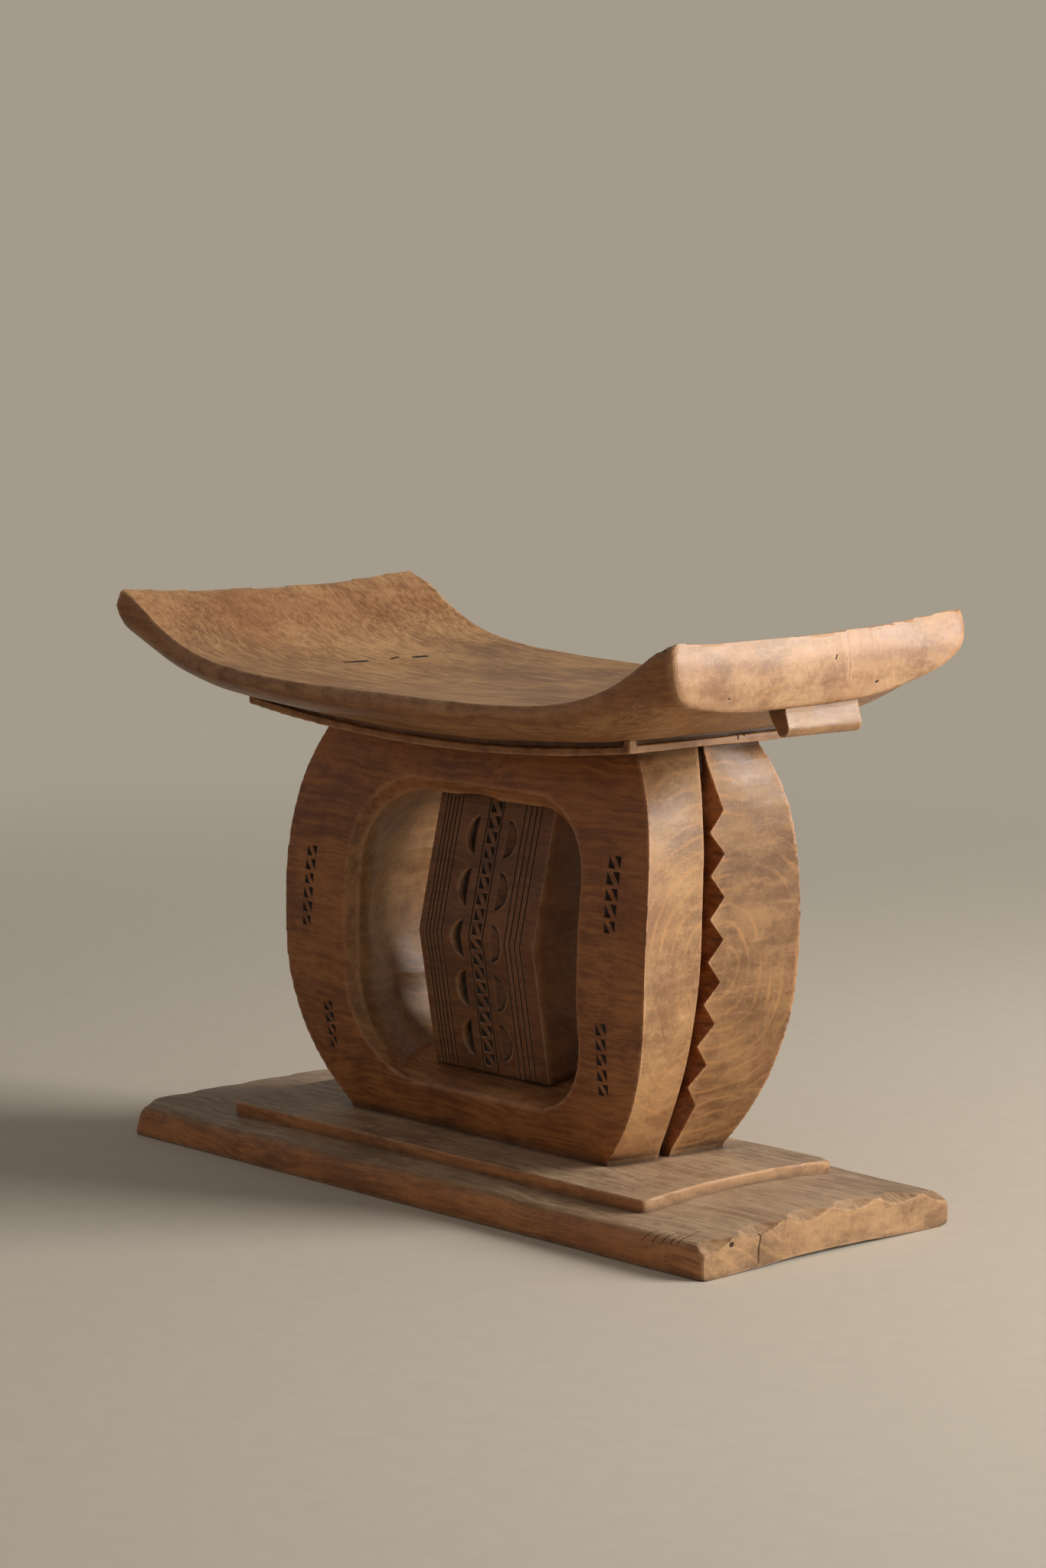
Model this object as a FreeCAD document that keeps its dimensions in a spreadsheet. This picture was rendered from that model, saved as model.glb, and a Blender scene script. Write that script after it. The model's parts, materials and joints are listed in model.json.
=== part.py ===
import FreeCAD, Part
import math
import os
import Sketcher

# A carved wooden stool with a curved seat, an openwork pedestal and a board base.
# Frame: millimetres, +Z up, +X along the seat, -Y is the front, origin on the floor
# under the middle of the base. The real stool is cut from one block of wood, and the
# pieces here meet face to face along its carved steps, grooves and edges.

SIZES = {
    # seat
    "seat_length": 500,            # between the upper edges of its ends
    "seat_width": 258,
    "seat_edge_height": 324,       # upper edge of the long sides, at the middle
    "seat_end_rise": 47.5,         # how much higher the edge is at the ends
    "seat_dish": 6,                # the top is lower along its middle
    "seat_depth": 29,              # from the upper edge down to the keel, at the middle
    "seat_end_depth": 42,          # the same at the ends
    "seat_right_extra_depth": 5,   # the right end was left deeper
    "seat_right_round": 5,         # and its face rolls over into the underside
    "seat_corner_lift": 9,         # the rear right corner was left higher
    "seat_left_drop": 2.5,         # the left end rises a little less than the right
    "seat_nose": 7.5,              # how far each end face swells past its upper edge
    "seat_nose_height": 13,        # how far below the upper edge it swells most
    # stepped ledge under the seat
    "rail_length": 354,
    "rail_width": 170,
    "rail_height": 287,            # its underside at the middle
    "rail_end_rise": 12,
    "rail_blank_depth": 15,        # before the seat is set into it
    "rail_bead": 4.8,              # rounded band below the groove
    "rail_groove_depth": 3.5,
    "rail_corner_block": 6,        # solid end of the groove
    # lugs under the seat's ends
    "lug_width": 63.5,
    "lug_shift": 3,                # both sit a little behind the middle
    "lug_length": 28,              # along the seat, at the top of its blank
    "lug_foot_length": 9.5,        # the same at its underside
    "lug_lean": 4.5,               # its foot stands out past the seat's upper end edge
    "lug_inset": 5.3,              # the top of its blank stays behind that edge
    "lug_drop": 18,                # its flat underside lies below the left end's keel
    "lug_blank_depth": 33,
    "lug_round": 5,
    # pedestal
    "pedestal_shift": 5,           # the pedestal stands a little behind the middle
    "pedestal_half_depth": 66,
    "pedestal_depth_taper": 18,
    "pedestal_depth_mid": 160,     # height of its deepest part
    "pedestal_depth_span": 125,
    "corner_reach": 168,           # outer edge of each front post, at its widest
    "corner_taper": 47,
    "corner_mid": 175,
    "corner_span": 138,
    "rear_reach": 174,             # outer edge of each rear post
    "rear_taper": 44,
    "rear_mid": 215,
    "rear_low_span": 176,
    "rear_high_span": 103,
    "lobe_reach": 165,             # edge of each end post beside the groove
    "lobe_taper": 37,
    "lobe_mid": 205,
    "lobe_span": 169,
    "groove_depth": 25,            # between the end posts, at its deepest
    "groove_depth_taper": 20,
    "groove_mid": 165,
    "groove_span": 135,
    "groove_shift": 3,             # groove bottom, off the pedestal's middle plane
    "smooth_edge_shift": 13,
    "tooth_tip_shift": 5,          # tips reach past the pedestal's middle plane
    "tooth_valley_shift": 6,       # valleys stay behind it
    "tooth_head_shift": 10,        # where the toothed edge closes the groove, above
    "tooth_foot_shift": 4,         # and below
    "tooth_top": 256,              # height of the highest valley
    "tooth_pitch": 26.8,
    "post_foot": 29,               # blank ends, inside the plinth and the rail
    "post_head": 300,
    # hollow through the pedestal
    "hollow_half_width": 108,
    "hollow_floor": 62,
    "hollow_ceiling": 260,
    "hollow_radius": 50,
    "hollow_left_radius": 60,
    "hollow_belly": 9,             # how much it widens behind its mouth
    "hollow_belly_reach": 130,
    "bridge_half_length": 97,      # where the bars over and under the hollow meet the posts
    "floor_crown": 14,             # the floor rises towards the column
    "floor_half_depth": 55,
    "floor_half_length": 94,
    # centre column
    "column_width": 107,
    "column_knee": 50.4,           # half depth where its faces bend
    "column_knee_height": 161,
    "column_head": 274,
    "column_head_half_depth": 25.3,
    "column_sole": 72.6,           # lower edge of its carved faces
    "column_sole_half_depth": 34.3,
    "column_neck_half_depth": 30,
    "column_foot": 48,
    "moon_radius": 13,
    "moon_centre": 9.5,
    "moon_chord": 13,
    "moon_depth": 6.5,
    "moon_top": 225,               # middle of the highest row
    "moon_pitch": 32.7,
    "line_width": 1.1,
    "line_depth": 1.0,
    "line_top": 262,
    "line_first": 26.6,            # first line right of the middle
    "line_pitch": 4.8,
    "left_line_first": 32.4,
    "left_line_pitch": 3.6,
    "twist_half_width": 6.3,       # out to the line on each side
    "twist_pitch": 9.6,
    "twist_width": 5,              # half the width of the chips
    "twist_depth": 1.9,
    "twist_top": 248.5,
    # plinth
    "plinth_length": 384.7,
    "plinth_width": 168.5,
    "plinth_edge_height": 31.2,
    "plinth_crown": 3.6,
    "plinth_foot": 18,             # blank's underside, inside the base board
    # base board
    "base_length": 535.6,
    "base_width": 219.6,
    "base_crown_height": 27.5,
    "base_side_height": 19.8,
    "base_shoulder": 8,
    "base_left_fall": 5,           # the crown is planed down towards the left end
    "base_left_fall_length": 66,
    "base_arch": 2.4,
    "base_arch_half_width": 88,
    "base_arch_length": 60,
    "base_arch_start": 0.02,       # its height where it starts, almost nothing
    "scallop_pitch": 43,
    "scallop_radius": 44,
    "scallop_depth": 4.5,
    "scallop_left_depth": 1.5,     # the left end's gouges are shallower
    "scallop_tilt": 24,
    "overrun": 5,                  # how far cutting shapes run past what they cut
}

# Stations along half of the seat, and how far its edge and its keel have risen there.
STATION_SHARES = (0, 0.25, 0.5, 0.68, 0.8, 0.88, 0.95, 1.0, 1.06)
EDGE_RISE_SHARES = (0, 0, 0.06, 0.19, 0.40, 0.62, 0.86, 1.0, 1.17)
KEEL_RISE_SHARES = (0, 0.04, 0.15, 0.28, 0.45, 0.62, 0.82, 1.0, 1.2)

# Underside of the seat from its edge to its keel, as shares of its half width and depth.
# Towards the ends its front side is cut fuller than its rear side.
MIDDLE_WIDTH_SHARES = (1, 1.016, 0.975, 0.84, 0.66, 0.33, 0)
MIDDLE_DEPTH_SHARES = (0, 0.24, 0.5, 0.77, 0.965, 1, 1)
REAR_END_WIDTH_SHARES = (1, 0.992, 0.957, 0.86, 0.667, 0.33, 0)
REAR_END_DEPTH_SHARES = (0, 0.27, 0.5, 0.69, 0.845, 0.985, 1)
FRONT_END_WIDTH_SHARES = (1, 1.02, 1.0, 0.945, 0.82, 0.42, 0)
FRONT_END_DEPTH_SHARES = (0, 0.27, 0.5, 0.7, 0.835, 0.97, 1)

BARREL_LEVEL_SHARES = (0, 0.08, 0.2, 0.35, 0.5, 0.65, 0.8, 0.92, 1)
DEPTH_POWER = 2
CORNER_POWER = 3
LOBE_POWER = 2.4
TOOTH_END_SHARES = (0, 0.35, 0.7)
TOOTH_COUNT = 8
MOON_ROWS = 5
RIGHT_LINES = 4
LEFT_LINES = 5
TWIST_COUNT = 18
SCALLOP_SHARES = (-2.5, -1.5, -0.5, 0.5, 1.5, 2.5)
ALIGNED_SHARE = 0.999              # how nearly an edge has to run along its axis

# Label, side (-1 left, 1 right), facing (-1 front, 1 rear) and whether its edge is toothed.
POSTS = (
    ("front_right_post", 1, -1, False),
    ("rear_right_post", 1, 1, True),
    ("rear_left_post", -1, 1, False),
    ("front_left_post", -1, -1, True),
)

UP = FreeCAD.Vector(0, 0, 1)
ALONG = FreeCAD.Vector(1, 0, 0)
BACK = FreeCAD.Vector(0, 1, 0)

doc = FreeCAD.newDocument("carved_stool")
sheet = doc.addObject("Spreadsheet::Sheet", "sizes")
for row, (alias, number) in enumerate(SIZES.items(), start=1):
    sheet.set("A%d" % row, alias)
    sheet.set("B%d" % row, str(number))
    sheet.setAlias("B%d" % row, alias)
doc.recompute()


def size(alias):
    return float(sheet.get(alias))


def bind(item, **expressions):
    for name, expression in expressions.items():
        item.setExpression(name, expression)


def feature(label, shape):
    item = doc.addObject("Part::Feature", label)
    item.Label = label
    item.Shape = shape
    return item


def cut(label, base, tools):
    """The base without the tools, one Part cut for each tool."""
    for number, tool in enumerate(tools, start=1):
        last = number == len(tools)
        item = doc.addObject("Part::Cut", label if last else "%s_%d" % (label, number))
        item.Base = base
        item.Tool = tool
        base = item
    base.Label = label
    return base


def blend(low, high, share):
    return low + (high - low) * share


def point(x, y, z):
    return FreeCAD.Vector(x, y, z)


def arc(start, middle, end):
    return Part.Arc(start, middle, end).toShape()


def line(start, end):
    return Part.LineSegment(start, end).toShape()


def spline(points):
    curve = Part.BSplineCurve()
    curve.interpolate(points)
    return curve.toShape()


def polygon(points):
    return Part.makePolygon(list(points) + [points[0]])


def prism(edges, sweep):
    """A solid swept along one direction from a closed outline."""
    return Part.Face(Part.Wire(Part.__sortEdges__(edges))).extrude(sweep)


def plane_of(body, role):
    return next(plane for plane in body.Origin.OriginFeatures if plane.Role == role)


def sketch_in(body, role, label):
    """A sketch of the body, flat on one of the body's own origin planes."""
    sketch = body.newObject("Sketcher::SketchObject", label)
    sketch.AttachmentSupport = [(plane_of(body, role), "")]
    sketch.MapMode = "FlatFace"
    return sketch


def place_vertex(sketch, geometry, end, across, upward):
    """Hold a sketch point at two expressions, each with its start value."""
    for kind, (value, expression) in (("DistanceX", across), ("DistanceY", upward)):
        if value < 0:
            item = Sketcher.Constraint(kind, geometry, end, -1, 1, -value)
        else:
            item = Sketcher.Constraint(kind, -1, 1, geometry, end, value)
        index = sketch.addConstraint(item)
        sketch.setExpression("Constraints[%d]" % index, expression)


def outline_sketch(body, role, label, corners):
    """A closed outline of straight lines whose corners follow the sheet."""
    sketch = sketch_in(body, role, label)
    spots = [point(across[0], upward[0], 0) for across, upward in corners]
    count = len(spots)
    for index in range(count):
        sketch.addGeometry(Part.LineSegment(spots[index], spots[(index + 1) % count]))
    for index in range(count):
        sketch.addConstraint(
            Sketcher.Constraint("Coincident", index, 2, (index + 1) % count, 1))
    for index, (across, upward) in enumerate(corners):
        place_vertex(sketch, index, 1, across, upward)
    return sketch


def pad_both_ways(body, sketch, length):
    pad = body.newObject("PartDesign::Pad", body.Name + "_pad")
    pad.Profile = sketch
    pad.SideType = "Symmetric"
    pad.setExpression("Length", length)
    body.Tip = pad
    doc.recompute()
    return pad


def crowned_board(label, width, edge, crown, foot, length):
    """A body along X with a flat underside, upright sides and a crowned top."""
    body = doc.addObject("PartDesign::Body", label)
    sketch = sketch_in(body, "YZ_Plane", label + "_section")
    half = size(width) / 2
    low, side, rise = foot[0], edge[0], crown[0]
    radius = (half * half + rise * rise) / (2 * rise)
    centre = side + rise - radius
    angle = math.asin(half / radius)
    sketch.addGeometry(Part.LineSegment(point(-half, side, 0), point(-half, low, 0)))
    sketch.addGeometry(Part.LineSegment(point(-half, low, 0), point(half, low, 0)))
    sketch.addGeometry(Part.LineSegment(point(half, low, 0), point(half, side, 0)))
    circle = Part.Circle(point(0, centre, 0), UP, radius)
    quarter = math.pi / 2
    sketch.addGeometry(Part.ArcOfCircle(circle, quarter - angle, quarter + angle))
    for first, second in ((0, 1), (1, 2)):
        sketch.addConstraint(Sketcher.Constraint("Coincident", first, 2, second, 1))
    sketch.addConstraint(Sketcher.Constraint("Coincident", 2, 2, 3, 1))
    sketch.addConstraint(Sketcher.Constraint("Coincident", 3, 2, 0, 1))
    half_width = "sizes.%s / 2" % width
    place_vertex(sketch, 0, 1, (-half, half_width), edge)
    place_vertex(sketch, 1, 1, (-half, half_width), foot)
    place_vertex(sketch, 2, 1, (half, half_width), foot)
    place_vertex(sketch, 2, 2, (half, half_width), edge)
    index = sketch.addConstraint(Sketcher.Constraint("Radius", 3, radius))
    rule = "((%s)^2 + (%s)^2) / (2 * (%s))" % (half_width, crown[1], crown[1])
    sketch.setExpression("Constraints[%d]" % index, rule)
    pad_both_ways(body, sketch, length)
    return body


def edges_along(shape, axis, keep):
    """Names of the straight edges along an axis whose middle passes a test."""
    names = []
    for number, edge in enumerate(shape.Edges, start=1):
        start, end = edge.Vertexes[0].Point, edge.Vertexes[-1].Point
        run = end - start
        if run.Length and abs(run.dot(axis)) > ALIGNED_SHARE * run.Length:
            if keep((start + end) / 2):
                names.append("Edge%d" % number)
    return names


def rounded(body, names, radius):
    base = body.Tip
    fillet = body.newObject("PartDesign::Fillet", "%s_round_%d" % (body.Name, len(body.Group)))
    fillet.Base = (base, names)
    fillet.setExpression("Radius", radius)
    body.Tip = fillet
    doc.recompute()


def seat_section(side, number):
    """One closed section of the seat: a dished top and a rounded underside."""
    x = side * STATION_SHARES[number] * size("seat_length") / 2
    rise = EDGE_RISE_SHARES[number]
    sink = KEEL_RISE_SHARES[number]
    half = size("seat_width") / 2
    edge = size("seat_edge_height") + rise * size("seat_end_rise")
    keel_start = size("seat_edge_height") - size("seat_depth")
    keel_end = size("seat_edge_height") + size("seat_end_rise") - size("seat_end_depth")
    keel = blend(keel_start, keel_end, sink)
    lift = 0
    if side > 0:
        keel = min(keel, keel_end - size("seat_right_extra_depth"))
        lift = size("seat_corner_lift") * rise
    else:
        edge -= size("seat_left_drop") * rise

    def spot(y, z):
        return point(x, y, z + lift * (y / half + 1) / 2)

    def underside(end_widths, end_depths):
        spots = []
        for index in range(len(MIDDLE_WIDTH_SHARES)):
            width = blend(MIDDLE_WIDTH_SHARES[index], end_widths[index], sink)
            depth = blend(MIDDLE_DEPTH_SHARES[index], end_depths[index], sink)
            spots.append((width * half, blend(edge, keel, depth)))
        return spots

    rear_side = underside(REAR_END_WIDTH_SHARES, REAR_END_DEPTH_SHARES)
    front_half = underside(FRONT_END_WIDTH_SHARES, FRONT_END_DEPTH_SHARES)
    front_side = [(-y, z) for y, z in reversed(front_half[:-1])]
    top = arc(spot(-half, edge), spot(0, edge - size("seat_dish")), spot(half, edge))
    under = spline([spot(y, z) for y, z in rear_side + front_side])
    return Part.Wire([top, under])


def right_lower_edges(shape, inner, high):
    """Numbers of the edges in the right end that reach down below a height."""
    numbers = []
    for number, edge in enumerate(shape.Edges, start=1):
        if edge.BoundBox.XMin > inner and edge.BoundBox.ZMin < high:
            numbers.append(number)
    return numbers


def seat():
    """Curved seat, lofted along X and trimmed to swelling end faces."""
    last = len(STATION_SHARES) - 1
    sections = [seat_section(-1, number) for number in range(last, 0, -1)]
    sections += [seat_section(1, number) for number in range(last + 1)]
    blank = feature("seat_blank", Part.makeLoft(sections, True, False))
    end = size("seat_length") / 2
    tip = size("seat_edge_height") + size("seat_end_rise")
    nose = tip - size("seat_nose_height")
    reach = size("seat_end_depth") - size("seat_nose_height")
    right_reach = reach + size("seat_right_extra_depth") + size("overrun")
    high = tip + 2 * size("seat_corner_lift") + size("overrun")
    low = size("seat_edge_height") - size("seat_depth") - size("overrun")
    inset = size("seat_nose")
    width = size("seat_width") + 4 * size("overrun")

    def side_points(side, low_reach):
        return [point(side * (end - inset / 2), -width / 2, nose + reach),
                point(side * (end + inset), -width / 2, nose),
                point(side * (end - inset / 2), -width / 2, nose - low_reach)]

    right, left = side_points(1, right_reach), side_points(-1, reach)
    slope = 2 * inset
    corners = [point(side * (end - slope), -width / 2, z)
               for side, z in ((1, low), (-1, low), (-1, high), (1, high))]
    edges = [arc(*right), line(right[2], corners[0]), line(corners[0], corners[1]),
             line(corners[1], left[2]), arc(*left), line(left[0], corners[2]),
             line(corners[2], corners[3]), line(corners[3], right[0])]
    trim = feature("seat_trim", prism(edges, BACK * width))
    trimmed = doc.addObject("Part::Common", "seat_trimmed")
    trimmed.Base = blank
    trimmed.Tool = trim
    doc.recompute()
    item = doc.addObject("Part::Fillet", "seat")
    item.Base = trimmed
    radius = size("seat_right_round")
    item.Edges = [(number, radius, radius)
                  for number in right_lower_edges(trimmed.Shape, end - slope, nose - radius)]
    item.Label = "seat"
    return item


def rail_band(label, bottom, top, half_length, front, back):
    """A curved band along X between two parallel arcs."""
    half = size("rail_length") / 2
    rise = size("rail_end_rise")

    def level(x):
        return size("rail_height") + rise * (x / half) ** 2

    lower = [point(x, front, level(x) + bottom) for x in (-half_length, 0, half_length)]
    upper = [point(x, front, level(x) + top) for x in (-half_length, 0, half_length)]
    edges = [arc(*lower), line(lower[2], upper[2]), arc(*upper), line(upper[0], lower[0])]
    return feature(label, prism(edges, BACK * (back - front)))


def seat_rail(seat_item, blank):
    """Stepped ledge under the seat, with a groove along each side and each end."""
    half = size("rail_width") / 2
    over = size("overrun")
    length = size("rail_length") / 2 - size("rail_corner_block")
    depth = size("rail_groove_depth")
    grooves = []
    for name, front, back in (("front", -half - over, -half + depth),
                              ("rear", half - depth, half + over)):
        grooves.append(rail_band("rail_groove_" + name, size("rail_bead"),
                                 size("rail_blank_depth") + over, length, front, back))
    end = size("rail_length") / 2
    low = size("rail_height") + size("rail_end_rise") + size("rail_bead")
    width = 2 * (half - size("rail_corner_block"))
    for name, start in (("left", -end - over), ("right", end - depth)):
        block = Part.makeBox(depth + over, width, size("rail_blank_depth"), point(start, -width / 2, low))
        grooves.append(feature("rail_groove_" + name, block))
    return cut("seat_rail", blank, [seat_item] + grooves)


def lug(label, side, seat_item):
    """Tapered block under one end of the seat, with a rounded lower edge."""
    body = doc.addObject("PartDesign::Body", label + "_block")
    end = size("seat_length") / 2
    foot = end + size("lug_lean")
    low = size("seat_edge_height") + size("seat_end_rise") - size("seat_end_depth") - size("lug_drop")
    high = low + size("lug_blank_depth")
    under = "sizes.seat_edge_height + sizes.seat_end_rise - sizes.seat_end_depth - sizes.lug_drop"
    top = under + " + sizes.lug_blank_depth"
    foot_rule = "sizes.seat_length / 2 + sizes.lug_lean"
    inner_foot = foot - size("lug_foot_length")
    inner_rule = foot_rule + " - sizes.lug_foot_length"
    inner_top = end - size("lug_length")
    outer_top = end - size("lug_inset")
    corners = [((side * inner_foot, inner_rule), (low, under)),
               ((side * foot, foot_rule), (low, under)),
               ((side * outer_top, "sizes.seat_length / 2 - sizes.lug_inset"), (high, top)),
               ((side * inner_top, "sizes.seat_length / 2 - sizes.lug_length"), (high, top))]
    sketch = outline_sketch(body, "XZ_Plane", label + "_side", corners)
    pad_both_ways(body, sketch, "sizes.lug_width")

    def outer_lower(spot):
        return abs(spot.x) > (inner_foot + foot) / 2 and spot.z < (low + high) / 2

    rounded(body, edges_along(body.Shape, BACK, outer_lower), "sizes.lug_round")
    body.setExpression("Placement.Base.y", "sizes.lug_shift")
    return cut(label, body, [seat_item])


def swell(height, reach, taper, middle, low_span, high_span, power):
    """Distance from the middle plane on a barrel-shaped outline."""
    span = low_span if height < middle else high_span
    return reach - taper * (abs(height - middle) / span) ** power


def depth_at(height):
    return swell(height, size("pedestal_half_depth"), size("pedestal_depth_taper"),
                 size("pedestal_depth_mid"), size("pedestal_depth_span"),
                 size("pedestal_depth_span"), DEPTH_POWER)


def corner_at(height, facing):
    if facing > 0:
        return swell(height, size("rear_reach"), size("rear_taper"), size("rear_mid"),
                     size("rear_low_span"), size("rear_high_span"), CORNER_POWER)
    return swell(height, size("corner_reach"), size("corner_taper"), size("corner_mid"),
                 size("corner_span"), size("corner_span"), CORNER_POWER)


def lobe_at(height):
    return swell(height, size("lobe_reach"), size("lobe_taper"), size("lobe_mid"),
                 size("lobe_span"), size("lobe_span"), LOBE_POWER)


def groove_at(height):
    return lobe_at(height) - swell(height, size("groove_depth"), size("groove_depth_taper"),
                                   size("groove_mid"), size("groove_span"),
                                   size("groove_span"), DEPTH_POWER)


def barrel_levels():
    return [blend(size("post_foot"), size("post_head"), share) for share in BARREL_LEVEL_SHARES]


def smooth_edge_levels():
    """Heights of the smooth groove edge and its distance from the pedestal's middle."""
    return [(height, size("smooth_edge_shift")) for height in barrel_levels()]


def toothed_edge_levels():
    """The same for the toothed edge, with extra levels at its plain ends."""
    pitch = size("tooth_pitch")
    low = size("tooth_top") - (TOOTH_COUNT - 1) * pitch
    valley = size("tooth_valley_shift")
    levels = []
    for share in TOOTH_END_SHARES:
        levels.append((blend(size("post_foot"), low, share),
                       blend(-size("tooth_foot_shift"), valley, share)))
    for index in range(TOOTH_COUNT):
        levels.append((low + index * pitch, valley))
        if index < TOOTH_COUNT - 1:
            levels.append((low + (index + 0.5) * pitch, -size("tooth_tip_shift")))
    for share in reversed(TOOTH_END_SHARES):
        levels.append((blend(size("post_head"), size("tooth_top"), share),
                       blend(-size("tooth_head_shift"), valley, share)))
    return levels


def post_blank(side, facing, toothed):
    """One end post: side is -1 left or 1 right, facing is -1 front or 1 rear.

    Its outer face stays even where teeth are cut: every edge point lies on the line from the
    outer corner to the lobe.
    """
    inner = side * size("bridge_half_length")
    middle = size("pedestal_shift")
    split = middle - side * size("groove_shift")
    even = size("tooth_valley_shift" if toothed else "smooth_edge_shift")
    sections = []
    for height, shift in toothed_edge_levels() if toothed else smooth_edge_levels():
        depth = depth_at(height)
        face = middle + facing * depth
        share = (depth - shift) / (depth - even)
        edge = blend(corner_at(height, facing), lobe_at(height), share)
        sections.append(polygon([
            point(side * corner_at(height, facing), face, height),
            point(side * edge, middle + facing * shift, height),
            point(side * groove_at(height), split, height),
            point(inner, split, height),
            point(inner, face, height)]))
    return Part.makeLoft(sections, True, toothed)


def post(label, side, facing, toothed, tools):
    """End post, seated between the plinth and the rail."""
    return cut(label, feature(label + "_blank", post_blank(side, facing, toothed)), tools)


def hollow_tools():
    """Mouth of the hollow, cut straight through, and the belly behind it."""
    depth = 2 * (size("pedestal_half_depth") + size("overrun"))
    box = doc.addObject("Part::Box", "hollow_box")
    bind(box, Length="2 * sizes.hollow_half_width", Height="sizes.hollow_ceiling - sizes.hollow_floor",
         Width="2 * (sizes.pedestal_half_depth + sizes.overrun)")
    box.Placement = FreeCAD.Placement(
        point(-size("hollow_half_width"), size("pedestal_shift") - depth / 2, size("hollow_floor")),
        FreeCAD.Rotation())
    doc.recompute()
    mouth = doc.addObject("Part::Fillet", "hollow_mouth")
    mouth.Base = box
    radii = []
    for number, edge in enumerate(box.Shape.Edges, start=1):
        run = edge.Vertexes[1].Point - edge.Vertexes[0].Point
        if abs(run.dot(BACK)) > ALIGNED_SHARE * run.Length:
            left = edge.CenterOfMass.x < 0
            radius = size("hollow_left_radius") if left else size("hollow_radius")
            radii.append((number, radius, radius))
    mouth.Edges = radii
    belly = doc.addObject("Part::Ellipsoid", "hollow_belly")
    bind(belly, Radius1="(sizes.hollow_ceiling - sizes.hollow_floor) / 2 + sizes.hollow_belly",
         Radius2="sizes.hollow_half_width + sizes.hollow_belly", Radius3="sizes.hollow_belly_reach")
    middle = (size("hollow_ceiling") + size("hollow_floor")) / 2
    belly.Placement = FreeCAD.Placement(point(0, size("pedestal_shift"), middle), FreeCAD.Rotation())
    doc.recompute()
    return mouth, belly


def bridge_blank(low, high):
    """Bar of the pedestal between the posts, with the posts' front and rear curves."""
    half = size("bridge_half_length")
    shift = size("pedestal_shift")
    sections = []
    for height in barrel_levels():
        depth = depth_at(height)
        sections.append(polygon([point(-half, shift - depth, height), point(half, shift - depth, height),
                                 point(half, shift + depth, height), point(-half, shift + depth, height)]))
    whole = Part.makeLoft(sections, True, False)
    keep = Part.makeBox(2 * half, 4 * size("pedestal_half_depth"), high - low,
                        point(-half, shift - 2 * size("pedestal_half_depth"), low))
    return whole.common(keep)


def floor_hump():
    """Rise of the hollow's floor towards the column."""
    shift = size("pedestal_shift")
    half = size("floor_half_depth")
    floor = size("hollow_floor")
    low = floor - 2 * size("overrun")
    start = -size("floor_half_length")
    ends = [point(start, shift - half, floor), point(start, shift + half, floor)]
    inset = size("overrun")
    feet = [point(start, shift - half + inset, low), point(start, shift + half - inset, low)]
    crest = point(start, shift, floor + size("floor_crown"))
    edges = [arc(ends[0], crest, ends[1]), line(ends[1], feet[1]),
             line(feet[1], feet[0]), line(feet[0], ends[0])]
    return feature("floor_hump", prism(edges, ALONG * (2 * size("floor_half_length"))))


def bridges(mouth, belly, rail_blank, plinth_item):
    """Upper and lower bars that close the pedestal above and below the hollow."""
    middle = (size("hollow_ceiling") + size("hollow_floor")) / 2
    upper_blank = feature("upper_bridge_blank", bridge_blank(middle, size("post_head")))
    upper = cut("upper_bridge", upper_blank, [mouth, belly, rail_blank])
    lower_blank = feature("lower_bridge_blank", bridge_blank(size("post_foot"), middle))
    hollowed = cut("lower_bridge_bar", lower_blank, [mouth])
    joined = doc.addObject("Part::Fuse", "lower_bridge_joined")
    joined.Base = hollowed
    joined.Tool = floor_hump()
    lower = cut("lower_bridge", joined, [plinth_item])
    return upper, lower


def column_profile(inset):
    """Corners of the kneed column, drawn in from its faces by an inset."""
    levels = (("column_head", "column_head_half_depth"), ("column_knee_height", "column_knee"),
              ("column_sole", "column_sole_half_depth"))
    rear = [(size(depth) - inset, size(height)) for height, depth in levels]
    return rear + [(-y, z) for y, z in reversed(rear)]


def column_block():
    """Kneed column with a narrower neck under its carved faces."""
    body = doc.addObject("PartDesign::Body", "column_block")
    shift = size("pedestal_shift")
    levels = (("column_head", "column_head_half_depth"), ("column_knee_height", "column_knee"),
              ("column_sole", "column_sole_half_depth"), ("column_sole", "column_neck_half_depth"),
              ("column_foot", "column_neck_half_depth"))
    rear, front = [], []
    for height, depth in levels:
        upward = (size(height), "sizes." + height)
        rear.append(((shift + size(depth), "sizes.%s + sizes.pedestal_shift" % depth), upward))
        front.append(((shift - size(depth), "sizes.%s - sizes.pedestal_shift" % depth), upward))
    sketch = outline_sketch(body, "YZ_Plane", "column_side", rear + front[::-1])
    pad_both_ways(body, sketch, "sizes.column_width")
    return body


def moon_cutters():
    """Rows of facing half-moons, deepest at their round sides, through both faces."""
    shift = size("pedestal_shift")
    radius = size("moon_radius")
    chord = size("moon_chord")
    offset = chord - size("moon_centre")
    rise = math.sqrt(radius * radius - offset * offset)
    reach = size("moon_centre") + radius
    depth = size("column_knee") + size("overrun")
    moons = []
    for index in range(MOON_ROWS):
        height = size("moon_top") - index * size("moon_pitch")
        for side in (-1, 1):
            low = point(side * chord, shift - depth, height - rise)
            high = point(side * chord, shift - depth, height + rise)
            outer = point(side * reach, shift - depth, height)
            moons.append(prism([arc(low, outer, high), line(high, low)], BACK * (2 * depth)))
    insets = ((-reach, size("moon_depth")), (-chord, 0), (chord, 0), (reach, size("moon_depth")))
    sections = []
    for x, inset in insets:
        sections.append(polygon([point(x, shift + y, z) for y, z in column_profile(inset)]))
    core = Part.makeLoft(sections, True, True)
    return Part.makeCompound(moons).cut(core)


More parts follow.
